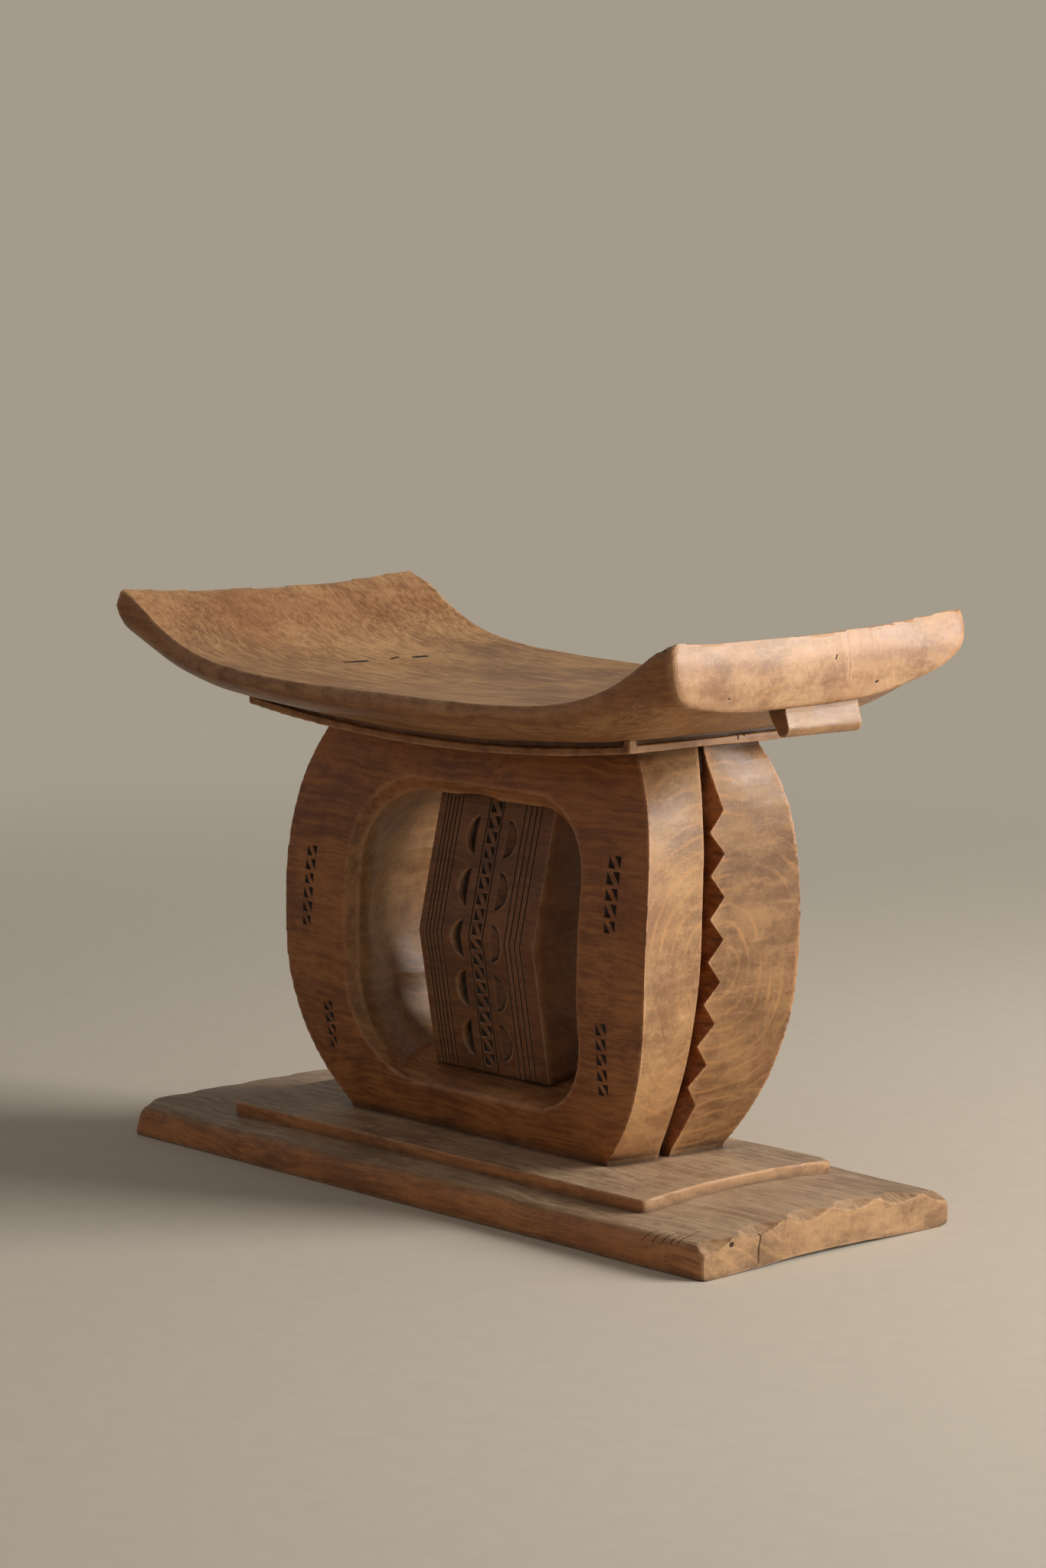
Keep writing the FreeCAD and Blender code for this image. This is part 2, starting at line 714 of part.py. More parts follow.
def line_cutters():
    """Fine upright lines beside both edges of the carved faces."""
    shift = size("pedestal_shift")
    places = [size("line_first") + index * size("line_pitch") for index in range(RIGHT_LINES)]
    places += [-size("left_line_first") - index * size("left_line_pitch") for index in range(LEFT_LINES)]
    places += [size("twist_half_width"), -size("twist_half_width")]
    depth = size("column_knee") + size("overrun")
    height = size("line_top") - size("column_sole") + size("overrun")
    wide = size("line_width")
    bars = [Part.makeBox(wide, 2 * depth, height,
                         point(x - wide / 2, shift - depth, size("column_sole") - size("overrun")))
            for x in places]
    half = size("column_width") / 2
    sections = [polygon([point(x, shift + y, z) for y, z in column_profile(size("line_depth"))])
                for x in (-half, half)]
    core = Part.makeLoft(sections, True, True)
    return Part.makeCompound(bars).cut(core)


def twist_cutters():
    """Alternating three-cornered chips down the middle, like a twisted rope."""
    shift = size("pedestal_shift")
    depth = size("column_knee") + size("overrun")
    pitch = size("twist_pitch")
    half = size("twist_width")
    gap = size("line_width") / 2
    chips = []
    for index in range(TWIST_COUNT):
        top = size("twist_top") - index * pitch
        low = top - pitch + gap
        left = [point(-half, shift - depth, top), point(-half, shift - depth, low),
                point(half - gap, shift - depth, low)]
        right = [point(half, shift - depth, low), point(half, shift - depth, top),
                 point(gap - half, shift - depth, top)]
        for corners in (left, right):
            chips.append(Part.Face(polygon(corners)).extrude(BACK * (2 * depth)))
    inset = size("twist_depth")
    half_width = size("column_width") / 2
    sections = [polygon([point(x, shift + y, z) for y, z in column_profile(inset)])
                for x in (-half_width, half_width)]
    core = Part.makeLoft(sections, True, True)
    return Part.makeCompound(chips).cut(core)


def centre_column(upper, lower):
    """Carved column standing on the hollow's floor and reaching its ceiling."""
    tools = [feature("moon_cuts", moon_cutters()), feature("line_cuts", line_cutters()),
             feature("twist_cuts", twist_cutters())]
    return cut("centre_column", column_block(), tools + [upper, lower])


def base_board():
    """Crowned base board with gouged end edges and a slight arch under each end."""
    half = size("base_width") / 2
    rise = size("base_crown_height") - size("base_side_height")
    edge = (size("base_side_height"), "sizes.base_side_height")
    crown = (rise, "sizes.base_crown_height - sizes.base_side_height")
    body = crowned_board("base_blank", "base_width", edge, crown, (0, "0 mm"), "sizes.base_length")
    middle = size("base_side_height") / 2
    shoulders = edges_along(body.Shape, ALONG, lambda spot: spot.z > middle)
    rounded(body, shoulders, "sizes.base_shoulder")
    tools = []
    tilt = size("scallop_tilt")
    radius = size("scallop_radius")
    reach = size("base_length") / 2
    for side in (-1, 1):
        for number, share in enumerate(SCALLOP_SHARES, start=1):
            y = share * size("scallop_pitch")
            edge_height = size("base_crown_height") - rise * (y / half) ** 2
            if side < 0:
                edge_height = min(edge_height, size("base_crown_height") - size("base_left_fall"))
            gouge = doc.addObject("Part::Cylinder", "gouge")
            bind(gouge, Radius="sizes.scallop_radius", Height="2 * sizes.scallop_radius")
            lean = FreeCAD.Rotation(BACK, 90 + tilt if side > 0 else -90 - tilt)
            across = lean.multVec(UP)
            over = FreeCAD.Vector(side * math.sin(math.radians(tilt)), 0, math.cos(math.radians(tilt)))
            depth = size("scallop_depth") if side > 0 else size("scallop_left_depth")
            bottom = point(side * reach, y, edge_height - depth)
            gouge.Placement = FreeCAD.Placement(bottom + over * radius - across * radius, lean)
            tools.append(gouge)
    gouges = doc.addObject("Part::MultiFuse", "gouges")
    gouges.Shapes = tools
    arches = [end_arch("arch_left", -1), end_arch("arch_right", 1)]
    return cut("base_board", body, [left_fall(), gouges] + arches)


def left_fall():
    """Wedge that takes the top down towards the left end."""
    over = size("overrun")
    end = size("base_length") / 2
    start = end - size("base_left_fall_length")
    top = size("base_crown_height")
    slope = size("base_left_fall") / size("base_left_fall_length")
    side = -size("base_width") / 2 - over
    low = top - size("base_left_fall") - slope * over
    corners = [point(x, side, z) for x, z in
               ((-end - over, low), (-start, top), (-start, top + over), (-end - over, top + over))]
    return feature("left_fall", prism(polygon(corners).Edges, BACK * -2 * side))


def end_arch(label, side):
    """Shallow hollow under one end, deepest at the end face."""
    half = size("base_arch_half_width")
    rise = size("base_arch")
    end = side * (size("base_length") / 2 + size("overrun"))
    start = side * (size("base_length") / 2 - size("base_arch_length"))
    grow = 1 + size("overrun") / size("base_arch_length")
    low = -size("overrun")

    def section(x, height):
        left, right = point(x, -half, 0), point(x, half, 0)
        edges = [arc(left, point(x, 0, height), right), line(right, point(x, half, low)),
                 line(point(x, half, low), point(x, -half, low)), line(point(x, -half, low), left)]
        return Part.Wire(edges)

    shape = Part.makeLoft([section(start, size("base_arch_start")), section(end, rise * grow)], True, True)
    return feature(label, shape)


def plinth(base_item):
    """Thin crowned board between the base and the pedestal."""
    edge = (size("plinth_edge_height"), "sizes.plinth_edge_height")
    crown = (size("plinth_crown"), "sizes.plinth_crown")
    foot = (size("plinth_foot"), "sizes.plinth_foot")
    body = crowned_board("plinth_blank", "plinth_width", edge, crown, foot, "sizes.plinth_length")
    return cut("plinth", body, [base_item])


def build():
    base_item = base_board()
    plinth_item = plinth(base_item)
    seat_item = seat()
    half_length = size("rail_length") / 2
    half_width = size("rail_width") / 2
    blank = rail_band("rail_blank", 0, size("rail_blank_depth"), half_length, -half_width, half_width)
    rail_item = seat_rail(seat_item, blank)
    mouth, belly = hollow_tools()
    posts = []
    for label, side, facing, toothed in POSTS:
        posts.append(post(label, side, facing, toothed, [mouth, belly, blank, plinth_item]))
    upper, lower = bridges(mouth, belly, blank, plinth_item)
    column_item = centre_column(upper, lower)
    lugs = [lug("left_lug", -1, seat_item), lug("right_lug", 1, seat_item)]
    return [base_item, plinth_item, rail_item, seat_item, upper, lower, column_item] + posts + lugs


def check(items):
    """Stop if an object failed or a sub-part has no sound solid."""
    doc.recompute()
    for item in doc.Objects:
        if "Invalid" in item.State or "Error" in item.State:
            raise RuntimeError("failed object: " + item.Label)
    for item in items:
        if item.Shape.isNull() or not item.Shape.isValid() or not item.Shape.Solids:
            raise RuntimeError("unsound shape: " + item.Label)


def main():
    items = build()
    check(items)
    os.makedirs("parts", exist_ok=True)
    for item in items:
        item.Shape.exportStep("parts/%s.step" % item.Label)
        print(item.Label, len(item.Shape.Solids), round(item.Shape.Volume))


main()
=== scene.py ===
import json
import math

import bmesh
import bpy
import numpy as np
from mathutils import Matrix, Vector
from mathutils.bvhtree import BVHTree
from mathutils.kdtree import KDTree


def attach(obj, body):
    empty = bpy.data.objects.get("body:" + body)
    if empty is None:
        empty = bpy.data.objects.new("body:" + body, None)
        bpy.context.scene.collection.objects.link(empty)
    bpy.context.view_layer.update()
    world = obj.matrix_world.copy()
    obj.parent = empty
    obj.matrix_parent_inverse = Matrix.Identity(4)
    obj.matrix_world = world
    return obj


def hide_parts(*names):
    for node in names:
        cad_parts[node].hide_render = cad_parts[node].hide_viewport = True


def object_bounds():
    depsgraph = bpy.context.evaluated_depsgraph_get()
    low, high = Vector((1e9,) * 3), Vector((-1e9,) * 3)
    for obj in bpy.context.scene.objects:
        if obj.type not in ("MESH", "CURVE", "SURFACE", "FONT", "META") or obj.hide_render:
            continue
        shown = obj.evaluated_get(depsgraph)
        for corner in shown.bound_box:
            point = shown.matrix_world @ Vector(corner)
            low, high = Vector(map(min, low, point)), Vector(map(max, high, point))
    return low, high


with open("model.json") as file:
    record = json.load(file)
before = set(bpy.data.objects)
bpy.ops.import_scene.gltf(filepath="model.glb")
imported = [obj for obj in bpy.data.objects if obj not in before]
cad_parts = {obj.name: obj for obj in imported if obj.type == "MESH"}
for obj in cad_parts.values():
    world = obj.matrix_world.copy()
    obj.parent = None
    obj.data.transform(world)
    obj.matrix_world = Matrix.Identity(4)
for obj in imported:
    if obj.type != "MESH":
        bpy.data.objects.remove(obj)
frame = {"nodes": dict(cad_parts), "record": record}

# A stool carved from one block of wood: curved seat, stepped ledge, barrel pedestal with a
# hollow and a kneed column, and a crowned base in two steps.
# Metres, +Z up, +X along the seat, -Y is the front.

CAD_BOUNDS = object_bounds()
MM = 0.001

# The photograph's camera
CAMERA_AZIMUTH = math.radians(46.59)
CAMERA_ELEVATION = math.radians(7.44)
CAMERA_ROLL = math.radians(0.53)
CAMERA_PLACE = Vector((1.8893, -1.7916, 0.5965))
CAMERA_LENS = 94.34
FILM_HEIGHT = 36.0

# Pedestal, column and carving, in millimetres as in the part's source
PEDESTAL_SHIFT = 5.0
DEPTH_MIDDLE, DEPTH_TAPER, DEPTH_HEIGHT, DEPTH_SPAN = 66.0, 18.0, 160.0, 125.0
HOLLOW_HALF_WIDTH, HOLLOW_FLOOR, HOLLOW_CEILING = 108.0, 62.0, 260.0
HOLLOW_LEFT_RADIUS, HOLLOW_RIGHT_RADIUS = 60.0, 50.0
BRIDGE_HALF_LENGTH = 97.0
# Lip of the hollow's mouth: how far the walls are drawn in behind it, how deep the slope
# runs, and where the walls are back in their place
LIP_LEFT, LIP_RIGHT, LIP_TOP, LIP_LOW, LIP_DEPTH, LIP_FADE = 6.0, 4.5, 8.5, 2.0, 8.0, 42.0
GROOVE_SHIFT = 3.0
COLUMN_HALF_WIDTH = 53.5
# Heights on the column and its half depth there
COLUMN_LEVELS = ((72.6, 34.3), (161.0, 50.4), (274.0, 25.3))
NECK_HALF_DEPTH, COLUMN_FOOT, COLUMN_SOLE = 30.0, 60.0, 72.6
COLUMN_CORNER = 1.3
MOON_RADIUS, MOON_CENTRE, MOON_CHORD, MOON_DEPTH = 13.0, 9.5, 13.0, 6.8
MOON_TOP, MOON_PITCH, MOON_ROWS = 225.0, 32.7, 5
# Width of the band of painted shade inside each half-moon's arc
MOON_SHADE = 3.2
LINE_HALF_WIDTH, LINE_DEPTH, LINE_TOP = 0.85, 1.4, 262.0
RIGHT_LINES = (26.6, 31.2, 36.3, 41.0)
LEFT_LINES = (-32.2, -36.1, -39.8, -43.2, -46.6)
TWIST_LINES = (-6.3, 6.3)
TWIST_HALF_WIDTH, TWIST_PITCH, TWIST_TOP, TWIST_COUNT = 5.2, 9.6, 248.5, 18

# Where the lip fades out round the mouth: how far inside it starts, over what width it grows,
# how far outside it ends, and the share of its depth by which it is full
LIP_INSIDE, LIP_GROWTH, LIP_OUTSIDE, LIP_FULL = 9.0, 7.0, 12.0, 1.6
# How far from the mouth's rim the wear reaches, and how hard it is
RIM_REACH, RIM_PASSES = 8.0, 16
# Steps of the column's mesh up its length, through the carving and above it
COLUMN_TOP, COLUMN_STEP, PLAIN_STEP = 274.0, 0.72, 2.0
# How far the knee is rounded over, and how the column's faces weave sideways
KNEE_SOFTNESS, WEAVE, WEAVE_LENGTH, WEAVE_ACROSS = 1.6, 0.3, 19.0, 1.4

# How far a point stands proud of its surroundings before it counts as worn, in millimetres
WORN_FROM, WORN_SPAN = 0.04, 0.42
# From which angle an edge of a solid counts as sharp, and how close places are taken on it
SHARP_FROM = math.radians(18.0)
SHARP_STEP = 0.3 * MM
# Points nearer to a sharp edge than this share of the voxel size are laid onto it
SNAP_SHARE = 0.95
# Weights below this one count as none
LEAST_WEIGHT = 0.02
# The hand-cut surfaces' short and long waves, and how many of each are added up
SHORT_WAVES, LONG_WAVES, WAVE_COUNT = (24 * MM, 60 * MM), (90 * MM, 240 * MM), 28
# How far a scored mark's mesh is refined, as a share of its width, and how many times
REFINE_REACH, REFINE_ROUNDS = 1.2, 2


def link(name, mesh):
    obj = bpy.data.objects.new(name, mesh)
    bpy.context.scene.collection.objects.link(obj)
    return obj


def read_points(mesh):
    points = np.zeros(len(mesh.vertices) * 3)
    mesh.vertices.foreach_get("co", points)
    return points.reshape(-1, 3)


def read_normals(mesh):
    normals = np.zeros(len(mesh.vertices) * 3)
    mesh.vertices.foreach_get("normal", normals)
    return normals.reshape(-1, 3)


def write_points(mesh, points):
    mesh.vertices.foreach_set("co", points.ravel())
    mesh.update()


def smoothstep(values):
    t = np.clip(values, 0.0, 1.0)
    return t * t * (3.0 - 2.0 * t)


def waves(points, shortest, longest, count, seed):
    """A smooth random field of about unit size, from waves between two lengths."""
    draw = np.random.default_rng(seed)
    total = np.zeros(len(points))
    for _ in range(count):
        direction = draw.normal(size=3)
        direction /= np.linalg.norm(direction)
        length = draw.uniform(shortest, longest)
        start = draw.uniform(0.0, 2.0 * math.pi)
        total += np.sin(points @ direction * (2.0 * math.pi / length) + start)
    return total * math.sqrt(2.0 / count)


def cad_copy(name, nodes):
    """One new object that holds the meshes of some CAD nodes."""
    shape = bmesh.new()
    for node in nodes:
        shape.from_mesh(frame["nodes"][node].data)
    bmesh.ops.remove_doubles(shape, verts=shape.verts, dist=0.001 * MM)
    mesh = bpy.data.meshes.new(name)
    shape.to_mesh(mesh)
    shape.free()
    return link(name, mesh)


def settle_modifiers(obj):
    """The object's mesh becomes what its modifiers make of it."""
    graph = bpy.context.evaluated_depsgraph_get()
    mesh = bpy.data.meshes.new_from_object(obj.evaluated_get(graph))
    obj.modifiers.clear()
    obj.data = mesh


def sharp_edges(mesh):
    """Places close together along a mesh's sharp edges, ready to be searched."""
    shape = bmesh.new()
    shape.from_mesh(mesh)
    places = []
    for edge in shape.edges:
        if len(edge.link_faces) == 2 and edge.calc_face_angle() > SHARP_FROM:
            start, end = edge.verts[0].co, edge.verts[1].co
            count = max(1, round((end - start).length / SHARP_STEP))
            places += [start.lerp(end, index / count) for index in range(count + 1)]
    shape.free()
    tree = KDTree(len(places))
    for index, place in enumerate(places):
        tree.insert(place, index)
    tree.balance()
    return tree


def remesh(obj, voxel):
    """Even small faces all over, laid back onto the surface and sharp edges they came from."""
    model = link(obj.name + "_model", obj.data.copy())
    modifier = obj.modifiers.new("even", "REMESH")
    modifier.mode = "VOXEL"
    modifier.voxel_size = voxel
    settle_modifiers(obj)
    modifier = obj.modifiers.new("lay", "SHRINKWRAP")
    modifier.target = model
    settle_modifiers(obj)
    tree = sharp_edges(model.data)
    points = read_points(obj.data)
    for index, point in enumerate(points):
        place, _, distance = tree.find(Vector(point))
        if distance < SNAP_SHARE * voxel:
            points[index] = place
    write_points(obj.data, points)
    bpy.data.objects.remove(model)


def soften(obj, passes, weights=None):
    """Wear the edges round; weights per point limit it to some places."""
    modifier = obj.modifiers.new("soft", "SMOOTH")
    modifier.factor = 0.5
    modifier.iterations = passes
    if weights is not None:
        group = obj.vertex_groups.new(name="soft")
        for index in np.nonzero(weights > LEAST_WEIGHT)[0]:
            group.add([int(index)], float(weights[index]), "REPLACE")
        modifier.vertex_group = group.name
    settle_modifiers(obj)
    obj.vertex_groups.clear()


def wander(obj, short_size, long_size, seed):
    """Surfaces swell and dip a little as hand-cut ones do, and stay inside the CAD box."""
    mesh = obj.data
    points = read_points(mesh)
    shift = short_size * waves(points, *SHORT_WAVES, WAVE_COUNT, seed)
    shift += long_size * waves(points, *LONG_WAVES, WAVE_COUNT, seed + 1)
    points += read_normals(mesh) * shift[:, None]
    low, high = (np.array(corner) for corner in CAD_BOUNDS)
    write_points(mesh, np.clip(points, low, high))


def press_into(obj, nodes, band, depth, way=None):
    """Push the points that lie near some CAD nodes into them, so that the crease stays tight."""
    shape = bmesh.new()
    for node in nodes:
        shape.from_mesh(frame["nodes"][node].data)
    tree = BVHTree.FromBMesh(shape)
    shape.free()
    points = read_points(obj.data)
    for index, point in enumerate(points):
        place, normal, _, distance = tree.find_nearest(Vector(point), band)
        if place is not None:
            share = min(1.0, 2.0 * (1.0 - distance / band))
            points[index] += np.array(way or -normal) * (depth * share)
    write_points(obj.data, points)


def biggest_shell(obj):
    """Drop loose bits that the remesh may leave inside."""
    shape = bmesh.new()
    shape.from_mesh(obj.data)
    shape.verts.ensure_lookup_table()
    seen = np.zeros(len(shape.verts), bool)
    shells = []
    for start in shape.verts:
        if seen[start.index]:
            continue
        seen[start.index] = True
        shell, front = [start], [start]
        while front:
            reached = []
            for vert in front:
                for edge in vert.link_edges:
                    other = edge.other_vert(vert)
                    if not seen[other.index]:
                        seen[other.index] = True
                        reached.append(other)
            shell += reached
            front = reached
        shells.append(shell)
    shells.sort(key=len)
    for shell in shells[:-1]:
        bmesh.ops.delete(shape, geom=shell, context="VERTS")
    shape.to_mesh(obj.data)
    shape.free()


def kept_part(obj, name, planes):
    """A closed copy of the object on the near side of each plane (a point and a normal)."""
    shape = bmesh.new()
    shape.from_mesh(obj.data)
    for place, normal in planes:
        everything = list(shape.verts) + list(shape.edges) + list(shape.faces)
        bmesh.ops.bisect_plane(shape, geom=everything, dist=0.0001 * MM,
                               plane_co=place, plane_no=normal, clear_outer=True)
        rim = [edge for edge in shape.edges if edge.is_boundary]
        caps = bmesh.ops.holes_fill(shape, edges=rim, sides=0)["faces"]
        for cap in caps:
            cap.smooth = False
            for edge in cap.edges:
                edge.smooth = False
    mesh = bpy.data.meshes.new(name)
    shape.to_mesh(mesh)
    shape.free()
    return link(name, mesh)


def refine(obj, inside, rounds):
    """Divide the faces whose middles pass a test, so that fine carving has points to move."""
    shape = bmesh.new()
    shape.from_mesh(obj.data)
    for turn in range(rounds + 1):
        faces = list(shape.faces)
        chosen = inside(np.array([face.calc_center_median() for face in faces]))
        picked = [faces[index] for index in np.nonzero(chosen)[0]]
        if turn < rounds:
            edges = {edge for face in picked for edge in face.edges}
            bmesh.ops.subdivide_edges(shape, edges=list(edges), cuts=1, use_grid_fill=True)
    for face in picked:
        face.smooth = True
    shape.to_mesh(obj.data)
    shape.free()


def paint(obj, name, values):
    """Keep a share per point that the material reads."""
    layer = obj.data.attributes.get(name)
    if layer is None:
        layer = obj.data.attributes.new(name, "FLOAT", "POINT")
    layer.data.foreach_set("value", np.asarray(values, dtype=np.float32))


def painted(obj, name):
    values = np.zeros(len(obj.data.vertices), dtype=np.float32)
    layer = obj.data.attributes.get(name)
    if layer is not None:
        layer.data.foreach_get("value", values)
    return values


def paint_edges(obj, passes=6):
    """Keep how far each point stands proud of its smoothed surroundings, or sunk in them."""
    mesh = obj.data
    points = read_points(mesh)
    ends = np.zeros(len(mesh.edges) * 2, dtype=np.int32)
    mesh.edges.foreach_get("vertices", ends)
    first, second = ends.reshape(-1, 2).T
    count = np.maximum(np.bincount(ends, minlength=len(points)), 1)
    smooth = points.copy()
    for _ in range(passes):
        for axis in range(3):
            row = smooth[:, axis].copy()
            total = np.bincount(first, row[second], len(points))
            total += np.bincount(second, row[first], len(points))
            smooth[:, axis] = 0.5 * row + 0.5 * total / count
    proud = np.sum((points - smooth) * read_normals(mesh), axis=1) / MM
    paint(obj, "worn", smoothstep((proud - WORN_FROM) / WORN_SPAN))
    paint(obj, "sunk", smoothstep((-proud - WORN_FROM) / WORN_SPAN))


def surface_tree(obj):
    shape = bmesh.new()
    shape.from_mesh(obj.data)
    tree = BVHTree.FromBMesh(shape)
    shape.free()
    return tree


def on_surface(tree, start, end, count=9):
    """Places along a straight run, moved onto a surface."""
    run = [Vector(start).lerp(Vector(end), index / (count - 1)) for index in range(count)]
    return np.array([tree.find_nearest(place)[0] for place in run])


def distance_to_path(points, path):
    """Distance of each point from a line through some places."""
    nearest = np.full(len(points), np.inf)
    for start, end in zip(path, path[1:]):
        run = end - start
        share = np.clip((points - start) @ run / max(run @ run, 1e-12), 0.0, 1.0)
        away = points - start - share[:, None] * run
        nearest = np.minimum(nearest, np.linalg.norm(away, axis=1))
    return nearest


def score(obj, marks, width, depth, layer, amount):
    """Cut fine marks, each between two places, and paint them."""
    tree = surface_tree(obj)
    paths = [on_surface(tree, start, end) for start, end in marks]

    def distance(points):
        return np.min([distance_to_path(points, path) for path in paths], axis=0)

    refine(obj, lambda middles: distance(middles) < REFINE_REACH * width, REFINE_ROUNDS)
    points = read_points(obj.data)
    share = np.clip(1.0 - distance(points) / (0.5 * width), 0.0, 1.0)
    write_points(obj.data, points - read_normals(obj.data) * (depth * share)[:, None])
    paint(obj, layer, np.maximum(painted(obj, layer), amount * smoothstep(2.0 * share)))


def pedestal_depth(heights):
    return DEPTH_MIDDLE - DEPTH_TAPER * ((heights - DEPTH_HEIGHT) / DEPTH_SPAN) ** 2


def mouth_offset(points):
    """How far outside the hollow's mouth each point lies, in millimetres, and the way out."""
    x, _, z = (points / MM).T
    radius = np.where(x < 0, HOLLOW_LEFT_RADIUS, HOLLOW_RIGHT_RADIUS)
    half_height = (HOLLOW_CEILING - HOLLOW_FLOOR) / 2
    rise = z - (HOLLOW_CEILING + HOLLOW_FLOOR) / 2
    across = np.abs(x) - (HOLLOW_HALF_WIDTH - radius)
    upward = np.abs(rise) - (half_height - radius)
    outside = np.hypot(np.maximum(across, 0.0), np.maximum(upward, 0.0))
    offset = outside + np.minimum(np.maximum(across, upward), 0.0) - radius
    near = np.maximum(outside, 0.001)
    way_x = np.where(outside > 0, np.maximum(across, 0.0) / near, across > upward) * np.sign(x)
    way_z = np.where(outside > 0, np.maximum(upward, 0.0) / near, across <= upward) * np.sign(rise)
    return offset, way_x, way_z


def sunk_below_face(points):
    """Depth of each point below the pedestal's front or rear face, in millimetres."""
    _, y, z = (points / MM).T
    return pedestal_depth(z) - np.abs(y - PEDESTAL_SHIFT)


def lip_the_mouth(obj):
    """Draw the hollow's walls in behind its mouth, so that a broad sloping lip runs round it."""
    points = read_points(obj.data)
    offset, way_x, way_z = mouth_offset(points)
    depth = sunk_below_face(points)
    width = np.where(way_x < 0, LIP_LEFT, LIP_RIGHT) * way_x ** 2
    width += np.where(way_z > 0, LIP_TOP, LIP_LOW) * way_z ** 2
    fading = (LIP_FADE - depth) / (LIP_FADE - LIP_FULL * LIP_DEPTH)
    share = smoothstep(depth / LIP_DEPTH) * smoothstep(fading)
    share *= smoothstep((offset + LIP_INSIDE) / LIP_GROWTH) * (offset < LIP_OUTSIDE)
    points[:, 0] -= way_x * width * share * MM
    points[:, 2] -= way_z * width * share * MM
    write_points(obj.data, points)


def pedestal():
    """The barrel pedestal, worn as one surface and then parted as the solids are."""
    nodes = ("front_left_post", "front_right_post", "rear_left_post", "rear_right_post",
             "upper_bridge", "lower_bridge")
    whole = cad_copy("pedestal_whole", nodes)
    remesh(whole, 1.25 * MM)
    biggest_shell(whole)
    lip_the_mouth(whole)
    soften(whole, 3)
    points = read_points(whole.data)
    rim = np.hypot(mouth_offset(points)[0], sunk_below_face(points))
    soften(whole, RIM_PASSES, smoothstep(1.0 - rim / RIM_REACH))
    wander(whole, 0.10 * MM, 0.28 * MM, 11)
    press_into(whole, ("plinth", "seat_rail"), 3.2 * MM, 2.2 * MM)
    paint_edges(whole)
    half = BRIDGE_HALF_LENGTH * MM
    middle = (HOLLOW_CEILING + HOLLOW_FLOOR) / 2 * MM
    pieces = {}
    for node, height in (("upper_bridge", 1), ("lower_bridge", -1)):
        pieces[node] = kept_part(whole, "carved_" + node, (
            ((half, 0, 0), (1, 0, 0)),
            ((-half, 0, 0), (-1, 0, 0)),
            ((0, 0, middle), (0, 0, -height))))
    for side, hand in ((-1, "left"), (1, "right")):
        split = (PEDESTAL_SHIFT - side * GROOVE_SHIFT) * MM
        for facing, way in ((-1, "front"), (1, "rear")):
            node = "%s_%s_post" % (way, hand)
            pieces[node] = kept_part(whole, "carved_" + node, (
                ((side * half, 0, 0), (-side, 0, 0)),
                ((0, split, 0), (0, -facing, 0))))
    bpy.data.objects.remove(whole)
    for side in (-1, 1):
        for facing in (-1, 1):
            chip_strips(pieces[post_name(side, facing)], side, facing)
    return pieces


def post_name(side, facing):
    return "%s_%s_post" % ("front" if facing < 0 else "rear", "left" if side < 0 else "right")


# Chip strips on the posts: upper end, lower end, half width there and number of cells, for
# the front face of the right and the left posts. The rear face has them turned half round.
STRIPS = {
    1: (((135.9, 231.5), (135.6, 182.0), 5.4, 5.2, 5),
        ((129.2, 127.5), (126.4, 79.0), 4.9, 4.3, 5)),
    -1: (((-143.0, 207.5), (-146.8, 151.5), 4.8, 4.6, 6),
         ((-129.0, 105.5), (-127.2, 72.5), 4.2, 3.8, 4)),
}
CHIP_GAP = 0.7
CHIP_SLOPE = 1.3
CHIP_DEEPEST = 2.2
# How far round a strip the mesh is refined, and how far out a post's face begins
STRIP_MARGIN, FACE_FROM = 1.5, 30.0
# Depth inside a chip at which its painted shade and grime are full
CHIP_DARK = 0.55


def triangle_depth(across, upward, corners):
    """How far inside a triangle each point lies, in the plane's own units."""
    nearest = np.full(across.shape, np.inf)
    centre = np.mean(corners, axis=0)
    for index in range(3):
        a, b = np.array(corners[index]), np.array(corners[(index + 1) % 3])
        run = b - a
        normal = np.array((run[1], -run[0])) / np.linalg.norm(run)
        if normal @ (centre - a) < 0:
            normal = -normal
        nearest = np.minimum(nearest, (across - a[0]) * normal[0] + (upward - a[1]) * normal[1])
    return np.maximum(nearest, 0.0)


def chip_depth(across, along, half, top, low):
    """Depth of one pair of three-cornered chips with a slanting ridge between them."""
    left = ((-half, top), (-half, low), (0.3 * half, low))
    right = ((half, low), (half, top), (-0.2 * half, top))
    return np.maximum(triangle_depth(across, along, left), triangle_depth(across, along, right))


def uneven(count, seed):
    """Small differences from cell to cell: width share, and how much shorter at each end."""
    draw = np.random.default_rng(seed)
    return list(zip(draw.uniform(0.85, 1.08, count), draw.uniform(0.0, 0.7, count),
                    draw.uniform(0.0, 0.7, count)))


def strip_depth(across, along, length, half_widths, count):
    """Depth of a strip of paired chips; along runs down the strip."""
    cell = length / count
    depth = np.zeros(across.shape)
    for index, (share, above, below) in enumerate(uneven(count, int(length * 10))):
        half = half_widths[0] + (half_widths[1] - half_widths[0]) * (index + 0.5) / count
        top = index * cell
        low = top + cell - CHIP_GAP - below
        inside = chip_depth(across, along, share * half, top + above, low)
        depth = np.maximum(depth, inside)
    return depth


